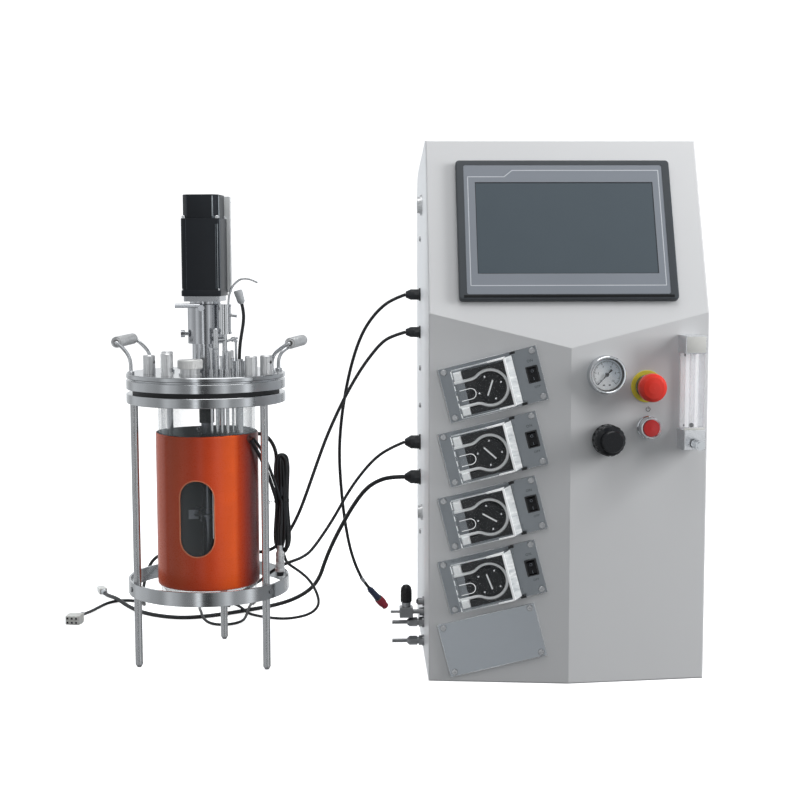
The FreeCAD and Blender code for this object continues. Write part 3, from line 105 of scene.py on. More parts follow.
def srgb(r, g, b):
    return tuple(((c / 255) / 12.92 if c / 255 <= 0.04045 else ((c / 255 + 0.055) / 1.055) ** 2.4) for c in (r, g, b)) + (1.0,)


class Nodes:
    def __init__(self, name):
        self.m = bpy.data.materials.new(name)
        self.m.use_nodes = True
        self.t = self.m.node_tree
        self.bsdf = self.t.nodes["Principled BSDF"]
        self.tc = self.t.nodes.new("ShaderNodeTexCoord")

    def new(self, kind, **props):
        n = self.t.nodes.new(kind)
        for k, v in props.items():
            setattr(n, k, v)
        return n

    def link(self, a, b):
        self.t.links.new(a, b)

    def mapped(self, scale=(1, 1, 1), rot=(0, 0, 0), loc=(0, 0, 0), source=None):
        mp = self.new("ShaderNodeMapping")
        mp.inputs["Scale"].default_value = scale
        mp.inputs["Rotation"].default_value = rot
        mp.inputs["Location"].default_value = loc
        self.link(source or self.tc.outputs["Object"], mp.inputs["Vector"])
        return mp.outputs["Vector"]

    def turned(self, axis_xy, kr, kz, ka=0.0):
        """Coordinates that run with the radius and the height about an upright axis."""
        sub = self.new("ShaderNodeVectorMath", operation="SUBTRACT")
        sub.inputs[1].default_value = (axis_xy[0], axis_xy[1], 0)
        self.link(self.tc.outputs["Object"], sub.inputs[0])
        sep = self.new("ShaderNodeSeparateXYZ")
        self.link(sub.outputs[0], sep.inputs[0])
        flat = self.new("ShaderNodeCombineXYZ")
        self.link(sep.outputs[0], flat.inputs[0])
        self.link(sep.outputs[1], flat.inputs[1])
        ln = self.new("ShaderNodeVectorMath", operation="LENGTH")
        self.link(flat.outputs[0], ln.inputs[0])
        ang = self.new("ShaderNodeMath", operation="ARCTAN2")
        self.link(sep.outputs[0], ang.inputs[0])
        self.link(sep.outputs[1], ang.inputs[1])
        mr = self.new("ShaderNodeMath", operation="MULTIPLY")
        mr.inputs[1].default_value = kr
        self.link(ln.outputs["Value"], mr.inputs[0])
        mz = self.new("ShaderNodeMath", operation="MULTIPLY")
        mz.inputs[1].default_value = kz
        self.link(sep.outputs[2], mz.inputs[0])
        ma = self.new("ShaderNodeMath", operation="MULTIPLY")
        ma.inputs[1].default_value = ka
        self.link(ang.outputs[0], ma.inputs[0])
        out = self.new("ShaderNodeCombineXYZ")
        self.link(mr.outputs[0], out.inputs[0])
        self.link(ma.outputs[0], out.inputs[1])
        self.link(mz.outputs[0], out.inputs[2])
        self.radius, self.height = ln.outputs["Value"], sep.outputs[2]
        return out.outputs[0]

    def noise(self, vec, scale, detail=3.0, rough=0.55):
        n = self.new("ShaderNodeTexNoise")
        n.inputs["Scale"].default_value = scale
        n.inputs["Detail"].default_value = detail
        n.inputs["Roughness"].default_value = rough
        self.link(vec, n.inputs["Vector"])
        return n.outputs["Fac"]

    def remap(self, value, a, b, c, d, smooth=False):
        n = self.new("ShaderNodeMapRange")
        if smooth:
            n.interpolation_type = "SMOOTHSTEP"
        for k, v in zip(("From Min", "From Max", "To Min", "To Max"), (a, b, c, d)):
            n.inputs[k].default_value = v
        self.link(value, n.inputs["Value"])
        return n.outputs["Result"]

    def mix(self, fac, c0, c1):
        n = self.new("ShaderNodeMix", data_type="RGBA")
        self.link(fac, n.inputs[0])
        for k, c in ((6, c0), (7, c1)):
            if isinstance(c, tuple):
                n.inputs[k].default_value = c
            else:
                self.link(c, n.inputs[k])
        return n.outputs[2]

    def bump(self, height, strength, distance):
        n = self.new("ShaderNodeBump")
        n.inputs["Strength"].default_value = strength
        n.inputs["Distance"].default_value = distance
        self.link(height, n.inputs["Height"])
        self.link(n.outputs["Normal"], self.bsdf.inputs["Normal"])
        return n


def shade(c, k):
    return (min(1, c[0] * k), min(1, c[1] * k), min(1, c[2] * k), 1.0)


def basic(name, color, rough=0.4, metal=0.0, var=0.05, scale=35.0, rvar=0.06, grain=900.0, bump=0.08, depth=0.0002,
          stretch=(1, 1, 1), rot=(0, 0, 0), coat=0.0, coat_rough=0.1, spec=0.5, ior=None, sss=0.0, turned=None, spots=0.0):
    """Colour that drifts a little, roughness that varies, and a fine surface relief."""
    k = Nodes(name)
    b = k.bsdf
    vec = k.mapped() if turned is None else None
    drift = k.noise(k.tc.outputs["Object"], scale, 4.0)
    lo, hi = shade(color, 1 - var), shade(color, 1 + var)
    col = k.mix(k.remap(drift, 0.3, 0.7, 0, 1), lo, hi)
    if turned is not None:
        gv = k.turned(turned[0], turned[1], turned[2], turned[3])
        fine = k.noise(gv, 1.0, 3.0, 0.6)
    else:
        gv = k.mapped(stretch, rot)
        fine = k.noise(gv, grain, 3.0, 0.6)
    if spots:
        col = k.mix(k.remap(fine, 0.35, 0.7, 0, spots), col, shade(color, 0.6))
    k.link(col, b.inputs["Base Color"])
    k.link(k.remap(fine, 0.25, 0.75, max(0.02, rough - rvar), rough + rvar), b.inputs["Roughness"])
    b.inputs["Metallic"].default_value = metal
    b.inputs["Specular IOR Level"].default_value = spec
    if ior:
        b.inputs["IOR"].default_value = ior
    if coat:
        b.inputs["Coat Weight"].default_value = coat
        b.inputs["Coat Roughness"].default_value = coat_rough
    if sss:
        b.inputs["Subsurface Weight"].default_value = sss
        b.inputs["Subsurface Scale"].default_value = 0.002
        b.inputs["Subsurface Radius"].default_value = (1.0, 1.0, 1.0)
    if bump:
        k.bump(fine, bump, depth)
    return k


def glass(name, tint, rough=0.02, ior=1.47, smear=0.03):
    k = Nodes(name)
    b = k.bsdf
    film = k.noise(k.tc.outputs["Object"], 22.0, 4.0)
    k.link(k.mix(k.remap(film, 0.3, 0.7, 0, 1), tint, shade(tint, 0.97)), b.inputs["Base Color"])
    k.link(k.remap(film, 0.3, 0.75, rough, rough + smear), b.inputs["Roughness"])
    b.inputs["Transmission Weight"].default_value = 1.0
    b.inputs["IOR"].default_value = ior
    return k


AXIS = (R(VX, VY, 0).x, R(VX, VY, 0).y)
M = {}


def put(key, k):
    M[key] = k.m
    return k


put("paint", basic("cabinet_paint", (0.80, 0.805, 0.815, 1), rough=0.38, var=0.012, scale=6, rvar=0.05, grain=1500, bump=0.05, depth=0.0002))
put("frame_grey", basic("screen_frame", srgb(66, 71, 76), rough=0.42, var=0.05, scale=25, grain=2500, bump=0.06, depth=0.0001))
put("overlay", basic("screen_overlay", srgb(140, 146, 155), rough=0.42, var=0.02, scale=8, grain=3000, bump=0.04, depth=0.0001))
put("line", basic("screen_line", srgb(214, 218, 224), rough=0.4, var=0.03, scale=60, grain=3000, bump=0.0))
put("screen", basic("screen_dark", srgb(84, 95, 103), rough=0.16, var=0.05, scale=5, rvar=0.03, grain=300, bump=0.0, coat=0.4, coat_rough=0.08))
plate_k = put("plate", basic("plate_steel", (0.27, 0.289, 0.307, 1), rough=0.36, metal=1.0, var=0.05, scale=20, rvar=0.08, grain=1.0, stretch=(120, 120, 4200), rot=(0, rad(14.4), 0),
                   bump=0.12, depth=0.0002))
put("black", basic("black_plastic", srgb(13, 15, 18), rough=0.36, var=0.12, scale=60, grain=2200, bump=0.08, depth=0.0001))
put("gloss_black", basic("rotor_plastic", srgb(15, 17, 20), rough=0.3, spec=0.3, var=0.12, scale=60, grain=2200, bump=0.04, depth=0.0001))
k_ = put("tube_glow", basic("tube_silicone", srgb(240, 242, 242), rough=0.3, var=0.02, scale=90, grain=1200, bump=0.03))
# a small emission paints a glow on the tube
k_.bsdf.inputs["Emission Color"].default_value = (0.95, 0.98, 1.0, 1)
k_.bsdf.inputs["Emission Strength"].default_value = 0.2
put("cover", glass("clear_cover", (0.97, 0.98, 0.985, 1), rough=0.03, ior=1.45, smear=0.05))
put("switch", basic("switch_black", srgb(22, 23, 26), rough=0.22, var=0.1, scale=80, grain=2500, bump=0.04, depth=0.0001))
put("screw", basic("screw_steel", (0.62, 0.63, 0.64, 1), rough=0.2, metal=1.0, var=0.08, scale=300, grain=900, bump=0.08, depth=0.0001))
put("chrome", basic("gauge_chrome", (0.68, 0.70, 0.72, 1), rough=0.09, metal=1.0, var=0.03, scale=60, rvar=0.03, grain=800, bump=0.03, depth=0.0001))
put("needle", basic("needle_black", srgb(22, 22, 24), rough=0.4, var=0.1, scale=200, grain=2000, bump=0.04))
put("yellow", basic("disc_yellow", srgb(250, 234, 84), rough=0.36, var=0.05, scale=60, grain=2000, bump=0.05, depth=0.0001))
put("red", basic("stop_red", srgb(236, 54, 38), rough=0.3, var=0.03, scale=60, grain=2200, bump=0.04, depth=0.0001, coat=0.1, coat_rough=0.2))
put("red_lens", basic("power_red", srgb(204, 36, 36), rough=0.22, var=0.05, scale=80, grain=1800, bump=0.05, depth=0.0001, coat=0.12, coat_rough=0.1))
put("knob", basic("knob_black", srgb(22, 24, 28), rough=0.26, spec=0.35, var=0.1, scale=70, grain=1800, bump=0.08, depth=0.0001))
put("block", basic("flow_block", (0.80, 0.81, 0.83, 1), rough=0.28, metal=1.0, var=0.05, scale=40, grain=1.0, stretch=(200, 200, 3000), bump=0.08, depth=0.0001))
put("acrylic", glass("flow_acrylic", (0.96, 0.96, 0.98, 1), rough=0.05, ior=1.45, smear=0.06))
put("float", basic("float_black", srgb(30, 30, 32), rough=0.25, var=0.1, scale=200, grain=1500, bump=0.03))
put("nylon", basic("gland_nylon", srgb(32, 35, 39), rough=0.38, var=0.12, scale=90, grain=1600, bump=0.1, depth=0.0002))
put("metal", basic("fitting_metal", (0.72, 0.725, 0.735, 1), rough=0.22, metal=0.85, var=0.07, scale=90, grain=900, bump=0.012, depth=0.0001))
put("stainless", basic("stainless", (0.64, 0.65, 0.665, 1), rough=0.16, metal=1.0, var=0.05, scale=30, rvar=0.03, grain=1.0, stretch=(600, 600, 60), bump=0.006, depth=0.0001))
put("flange", basic("stainless_flange", (0.45, 0.462, 0.475, 1), rough=0.15, metal=1.0, var=0.05, scale=14, rvar=0.06, turned=(AXIS, 2600, 2600, 1.5), bump=0.05, depth=0.0001))
put("rubber", basic("seal_rubber", srgb(26, 28, 30), rough=0.55, var=0.1, scale=80, grain=1500, bump=0.1, depth=0.0002))
put("boro", glass("borosilicate", (0.975, 0.99, 0.99, 1), rough=0.0, ior=1.47, smear=0.01))
put("housing", basic("housing_metal", (0.47, 0.48, 0.50, 1), rough=0.17, metal=1.0, var=0.05, scale=30, rvar=0.04, turned=(AXIS, 1800, 1800, 1.0), bump=0.02, depth=0.0001))
put("motor", basic("motor_black", srgb(31, 35, 41), rough=0.34, spec=0.3, var=0.1, scale=30, grain=1800, bump=0.1, depth=0.0001))
put("alu", basic("driver_alu", (0.72, 0.73, 0.74, 1), rough=0.32, metal=1.0, var=0.04, scale=30, grain=1.0, stretch=(900, 900, 60), bump=0.06, depth=0.0001))
put("cable", basic("cable_pvc", srgb(24, 26, 29), rough=0.42, var=0.15, scale=40, grain=900, bump=0.08, depth=0.0002))
put("inner", basic("inner_parts", (0.30, 0.31, 0.33, 1), rough=0.4, metal=0.6, var=0.08, scale=30, grain=800, bump=0.05))
put("white", basic("moulded_white", srgb(232, 232, 228), rough=0.38, var=0.03, scale=90, grain=1800, bump=0.05, depth=0.0001))
put("print", basic("print_black", srgb(34, 34, 38), rough=0.5, var=0.08, scale=200, grain=2000, bump=0.0))
put("print_white", basic("print_white", srgb(220, 222, 224), rough=0.5, var=0.04, scale=200, grain=2000, bump=0.0))



def clear(name, tint, a0, a1, rough=0.05, blend=0.35, smear=0.04):
    """Clear plastic or glass: see-through face on, more body where it is seen edge on."""
    k = Nodes(name)
    bs = k.bsdf
    film = k.noise(k.tc.outputs["Object"], 30.0, 4.0)
    k.link(k.mix(k.remap(film, 0.3, 0.7, 0, 1), tint, shade(tint, 0.94)), bs.inputs["Base Color"])
    k.link(k.remap(film, 0.3, 0.75, rough, rough + smear), bs.inputs["Roughness"])
    lw = k.new("ShaderNodeLayerWeight")
    lw.inputs["Blend"].default_value = blend
    k.link(k.remap(lw.outputs["Facing"], 0.0, 1.0, a0, a1), bs.inputs["Alpha"])
    return k


put("cover", clear("clear_cover_shell", srgb(205, 212, 218), 0.02, 0.30, rough=0.04))
put("lens", clear("gauge_lens_clear", srgb(225, 232, 238), 0.05, 0.22, rough=0.03))
put("acrylic", clear("flow_body_clear", srgb(244, 245, 250), 0.16, 0.75, rough=0.06))
k_ = put("boro", clear("borosilicate_clear", srgb(214, 222, 226), 0.03, 0.7, rough=0.02, blend=0.22))
k_.bsdf.inputs["Specular IOR Level"].default_value = 0.3
# white strips with a small emission: painted highlights and a painted glow on the covers' edges and the rotor bars
k_ = put("highlight_white", basic("painted_highlight_white", srgb(248, 250, 251), rough=0.25, var=0.07, scale=160, grain=700, bump=0.15, depth=0.0003))
k_.bsdf.inputs["Emission Color"].default_value = (0.95, 0.98, 1.0, 1)
k_.bsdf.inputs["Emission Strength"].default_value = 0.26
# paler painted highlights along the covers' edges
put("highlight_soft", basic("cover_painted_highlight_soft", srgb(236, 240, 243), rough=0.25, var=0.12, scale=220, grain=700, bump=0.15, depth=0.0003))
# the covers' sloped side: white to grey, a painted sheen
k_ = Nodes("cover_slope_painted_sheen")
n_ = k_.noise(k_.mapped((40, 40, 300), (0, rad(14.4), 0)), 1.0, 3.0)
k_.link(k_.mix(k_.remap(n_, 0.3, 0.7, 0, 1), srgb(250, 252, 252), srgb(196, 201, 204)), k_.bsdf.inputs["Base Color"])
k_.link(k_.remap(n_, 0.3, 0.7, 0.2, 0.34), k_.bsdf.inputs["Roughness"])
k_.link(k_.remap(n_, 0.25, 0.75, 0.95, 0.8), k_.bsdf.inputs["Alpha"])
put("highlight_slope", k_)
# dark strips in the screen's recess: painted shade
put("screen_recess_shade", basic("screen_recess_shade", srgb(48, 52, 58), rough=0.4, var=0.08, scale=60, grain=2000, bump=0.0))
# gauge dial: a painted reflection runs from white to pale blue across it, and a small emission paints a glow on it
k_ = Nodes("gauge_dial_painted_sheen")
n_ = k_.noise(k_.tc.outputs["Object"], 25.0, 3.0)
sheen_grad_coords = k_.mapped((24.0, 0, 24.0), (0, 0, 0), (-24.0 * R(175 + 43.6, -14, 390.2).x, 0, -24.0 * R(0, 0, 390.2).z))
sp_ = k_.new("ShaderNodeSeparateXYZ")
k_.link(sheen_grad_coords, sp_.inputs[0])
sheen_grad_sum = k_.new("ShaderNodeMath", operation="ADD")
k_.link(sp_.outputs[0], sheen_grad_sum.inputs[0])
k_.link(sp_.outputs[2], sheen_grad_sum.inputs[1])
k_.link(k_.mix(k_.remap(sheen_grad_sum.outputs[0], -0.35, 0.55, 0, 1, True), srgb(255, 255, 255), srgb(222, 233, 243)), k_.bsdf.inputs["Base Color"])
k_.link(k_.remap(n_, 0.3, 0.7, 0.35, 0.5), k_.bsdf.inputs["Roughness"])
k_.bsdf.inputs["Emission Color"].default_value = (0.85, 0.94, 1.0, 1)
k_.bsdf.inputs["Emission Strength"].default_value = 0.06
put("dial_painted_sheen", k_)
put("dark_chrome", basic("dark_chrome", (0.16, 0.15, 0.14, 1), rough=0.22, metal=1.0, var=0.1, scale=120, grain=900, bump=0.05, depth=0.0001))
k_ = put("backing_glow", basic("flow_backing_painted_glow", srgb(250, 250, 252), rough=0.4, var=0.04, scale=1.0, grain=1.0, stretch=(900, 900, 8), bump=0.0))
# a small emission paints a glow on the backing
k_.bsdf.inputs["Emission Color"].default_value = (0.98, 0.98, 1.0, 1)
k_.bsdf.inputs["Emission Strength"].default_value = 0.24
put("faint", basic("print_faint", srgb(170, 162, 184), rough=0.5, var=0.06, scale=200, grain=2000, bump=0.0))
# bright strips along the plate edges: painted highlights
put("plate_edge_highlight", basic("plate_edge_highlight", (0.72, 0.73, 0.74, 1), rough=0.22, metal=1.0, var=0.08, scale=120, grain=900, bump=0.05, depth=0.0001))
# light lines on the black motor: painted highlights, in a bright, a dim and a faint copy
put("motor_highlight", basic("motor_painted_highlight", srgb(190, 198, 204), rough=0.28, var=0.12, scale=60, grain=900, bump=0.05, depth=0.0001))
put("motor_highlight_faint", basic("motor_highlight_faint", srgb(62, 68, 76), rough=0.3, var=0.12, scale=60, grain=900, bump=0.05, depth=0.0001))
put("grip", basic("grip_metal", (0.66, 0.665, 0.67, 1), rough=0.34, metal=0.6, var=0.12, scale=220, grain=900, bump=0.15, depth=0.0002))
put("bead", basic("window_bead", srgb(190, 112, 80), rough=0.35, var=0.12, scale=90, grain=1200, bump=0.1, depth=0.0002))
put("jacket_inner", basic("jacket_inner", srgb(30, 32, 34), rough=0.6, var=0.2, scale=30, grain=700, bump=0.2, depth=0.0004))
put("jacket_dark", basic("jacket_seam", srgb(84, 44, 38), rough=0.5, var=0.12, scale=60, grain=900, bump=0.15, depth=0.0003))
put("strap", basic("strap_web", srgb(38, 38, 42), rough=0.7, var=0.15, scale=60, grain=1.0, stretch=(900, 900, 2400), bump=0.4, depth=0.0005))
put("crimson", basic("plug_crimson", srgb(176, 38, 62), rough=0.32, var=0.1, scale=120, grain=1500, bump=0.08, depth=0.0002))
put("blue", basic("plug_blue", srgb(44, 54, 88), rough=0.38, var=0.1, scale=120, grain=1500, bump=0.08, depth=0.0002))
put("plug_grey", basic("plug_grey", srgb(186, 189, 192), rough=0.36, var=0.06, scale=90, grain=1500, bump=0.06, depth=0.0002))
# jacket: smooth silicone over a heater foil, its wound pattern just showing, and a ramp round its axis that paints a
# highlight and shade into the colour
k_ = Nodes("jacket_silicone")
tv_ = k_.turned(AXIS, 0.0, 26.0, 1.4)
n_ = k_.noise(tv_, 1.6, 3.0, 0.5)
s_ = k_.new("ShaderNodeSeparateXYZ")
k_.link(k_.tc.outputs["Object"], s_.inputs[0])
ox_, oy_ = R(VX, VY, 0)[0], R(VX, VY, 0)[1]
dx_ = k_.new("ShaderNodeMath", operation="SUBTRACT")
k_.link(s_.outputs[0], dx_.inputs[0])
dx_.inputs[1].default_value = ox_
dy_ = k_.new("ShaderNodeMath", operation="SUBTRACT")
dy_.inputs[0].default_value = oy_
k_.link(s_.outputs[1], dy_.inputs[1])
at_ = k_.new("ShaderNodeMath", operation="ARCTAN2")
k_.link(dx_.outputs[0], at_.inputs[0])
k_.link(dy_.outputs[0], at_.inputs[1])
ps_ = k_.new("ShaderNodeMath", operation="MULTIPLY_ADD")
k_.link(at_.outputs[0], ps_.inputs[0])
ps_.inputs[1].default_value = 1 / (2 * math.pi)
ps_.inputs[2].default_value = 0.5
painted_light_ramp = k_.new("ShaderNodeValToRGB")
# painted light and shade: a painted highlight from about 13 to 44 degrees round the axis, painted shade from about 54
# to 100 degrees
painted_light_stops = [(-90, (150, 58, 34)), (-64, (206, 92, 56)), (-52, (178, 74, 44)), (-30, (176, 74, 44)), (-5, (180, 66, 38)), (13, (202, 72, 32)), (26, (218, 84, 30)), (36, (226, 90, 30)), (44, (198, 68, 30)),
          (54, (140, 46, 32)), (63, (116, 42, 36)), (76, (90, 46, 46)), (100, (150, 54, 34)), (140, (190, 66, 32))]
el_ = painted_light_ramp.color_ramp.elements
while len(el_) < len(painted_light_stops):
    el_.new(0.5)
for e_, (a_, v_) in zip(el_, painted_light_stops):
    e_.position = (a_ + 180) / 360
    e_.color = srgb(*v_)
k_.link(ps_.outputs[0], painted_light_ramp.inputs[0])
c_ = k_.mix(k_.remap(n_, 0.3, 0.7, 0.0, 0.16), painted_light_ramp.outputs[0], srgb(168, 52, 26))
w_ = k_.new("ShaderNodeTexWave", wave_type="BANDS", bands_direction="Z")
w_.inputs["Scale"].default_value = 14.0
w_.inputs["Distortion"].default_value = 0.6
k_.link(k_.tc.outputs["Object"], w_.inputs["Vector"])
c_ = k_.mix(k_.remap(w_.outputs["Fac"], 0.85, 1.0, 0.0, 0.02), c_, srgb(150, 44, 26))
fine_ = k_.noise(k_.tc.outputs["Object"], 900.0, 3.0, 0.6)
k_.link(c_, k_.bsdf.inputs["Base Color"])
k_.link(k_.remap(fine_, 0.25, 0.75, 0.24, 0.34), k_.bsdf.inputs["Roughness"])
k_.bsdf.inputs["Specular IOR Level"].default_value = 0.28
k_.bsdf.inputs["Coat Weight"].default_value = 0.06
k_.bsdf.inputs["Coat Roughness"].default_value = 0.18
k_.bump(fine_, 0.06, 0.0002)
put("jacket", k_)
put("plug_metal", basic("plug_metal", (0.72, 0.73, 0.74, 1), rough=0.3, metal=0.65, var=0.06, scale=90, grain=900, bump=0.06, depth=0.0001))
put("driver", basic("driver_case", srgb(240, 243, 243), rough=0.38, metal=0.0, var=0.05, scale=20, grain=1.0, stretch=(900, 900, 60), bump=0.06, depth=0.0001))
put("chrome_bright", basic("chrome_bright", (0.86, 0.87, 0.88, 1), rough=0.12, metal=0.9, var=0.04, scale=90, grain=900, bump=0.04, depth=0.0001))
put("motor_highlight_dim", basic("motor_painted_highlight_dim", srgb(112, 120, 128), rough=0.3, var=0.12, scale=60, grain=900, bump=0.05, depth=0.0001))
put("leg", basic("leg_steel", (0.46, 0.465, 0.475, 1), rough=0.26, metal=0.9, var=0.04, scale=30, rvar=0.02, grain=1.0, stretch=(600, 600, 40), bump=0.0))
put("shaft", basic("shaft_steel", (0.17, 0.18, 0.20, 1), rough=0.3, metal=1.0, var=0.06, scale=60, rvar=0.05, grain=900, bump=0.04, depth=0.0001))
put("mark_dim", basic("rocker_mark", srgb(118, 123, 130), rough=0.45, var=0.05, scale=200, grain=2000, bump=0.0))
put("satin", basic("satin_steel", (0.74, 0.74, 0.73, 1), rough=0.44, metal=0.45, var=0.04, scale=60, grain=900, bump=0.02, depth=0.0001))
put("fit", basic("fit_steel", (0.70, 0.705, 0.71, 1), rough=0.3, metal=0.8, var=0.05, scale=60, rvar=0.03, grain=900, bump=0.01, depth=0.0001))
put("fit_dark", basic("side_fitting_steel", (0.30, 0.305, 0.315, 1), rough=0.3, metal=0.9, var=0.06, scale=60, rvar=0.04, grain=900, bump=0.01, depth=0.0001))
put("plate_screw", basic("plate_screw_steel", (0.44, 0.445, 0.455, 1), rough=0.3, metal=1.0, var=0.14, scale=300, grain=900, bump=0.08, depth=0.0001))
# the colour turns paler below the line midway between the fourth pump plate and the blank plate, so the blank plate at
# the bottom comes out paler than the four pump plates
k_ = plate_k
old_ = k_.bsdf.inputs["Base Color"].links[0].from_socket
up_ = (plate_frame(3).to_3x3() @ Vector((0, 1, 0))).normalized()
mid_ = TO_ROW @ ((plate_frame(3) @ Vector((0, 0, 0)) + plate_frame(4) @ Vector((0, 0, 0))) / 2)
dp_ = k_.new("ShaderNodeVectorMath", operation="DOT_PRODUCT")
k_.link(k_.tc.outputs["Object"], dp_.inputs[0])
dp_.inputs[1].default_value = up_
at_ = up_.dot(mid_)
pale_ = k_.mix(k_.remap(dp_.outputs["Value"], at_ - 0.0005, at_ + 0.0005, 0.66, 0.0), old_, (0.52, 0.55, 0.585, 1))
k_.link(pale_, k_.bsdf.inputs["Base Color"])

PLAIN = {
    "cabinet_shell": "paint", "rear_cover": "paint", "cabinet_internals": "inner", "touchscreen_frame": "frame_grey", "panel_glass": "screen",
    "front_plates": "plate", "pump_heads": "black", "pump_tubing": "tube_glow", "switch_bodies": "switch", "panel_screws": "plate_screw",
    "gauge_case": "chrome", "gauge_needle": "needle", "button_bases": "yellow", "estop_plunger": "red", "estop_head": "red", "power_cap": "red_lens",
    "regulator_knob": "knob", "flow_meter_blocks": "block", "flow_meter_body": "acrylic", "flow_float": "float", "flow_knob": "chrome",
    "cable_glands": "nylon", "wall_sockets": "fit", "side_fittings": "fit_dark", "valve_knob": "knob", "stand_legs": "leg",
    "stand_rings": "flange", "clamp_flange": "flange", "vessel_seal": "rubber", "glass_vessel": "boro", "heating_jacket": "red", "head_plate": "flange",
    "port_cap": "satin", "head_fittings": "fit", "drive_housing": "housing", "stirrer_motor": "motor", "stirrer": "shaft",
    "probes": "stainless", "exhaust_condenser": "stainless", "lifting_handles": "metal", "cable_connectors": "white",
}
for i in range(1, 5):
    PLAIN["pump_rotor_%d" % i] = "gloss_black"
    PLAIN["pump_cover_%d" % i] = "cover"
    PLAIN["pump_rocker_%d" % i] = "switch"
for node, key in PLAIN.items():
    for s in NODES[node].material_slots:
        s.material = M[key]

def curve(name, pts, dia, mat, exit_at=None, sides=4):
    cu = bpy.data.curves.new(name, "CURVE")
    cu.dimensions = "3D"
    sp = cu.splines.new("NURBS")
    sp.points.add(len(pts) - 1)
    for p, q in zip(sp.points, pts):
        v = R(*q)
        p.co = (v.x, v.y, v.z, 1.0)
    sp.order_u = 3
    sp.use_endpoint_u = True
    cu.resolution_u = 10
    cu.bevel_depth = dia / 2000
    cu.bevel_resolution = sides
    cu.use_fill_caps = True
    ob = bpy.data.objects.new(name, cu)
    bpy.context.scene.collection.objects.link(ob)
    cu.materials.append(M[mat])
    return ob



# ---------------------------------------------------------------------------
# mesh making: shapes are given in millimetres in a local frame
# ---------------------------------------------------------------------------
IDENT = Matrix.Identity(4)


def up_z(x, y, z=0.0):
    return Matrix.Translation((x, y, z))


def along(p, d):
    """Local z runs from p along d."""
    q = Vector(d).normalized().to_track_quat("Z", "Y")
    return Matrix.Translation(p) @ q.to_matrix().to_4x4()


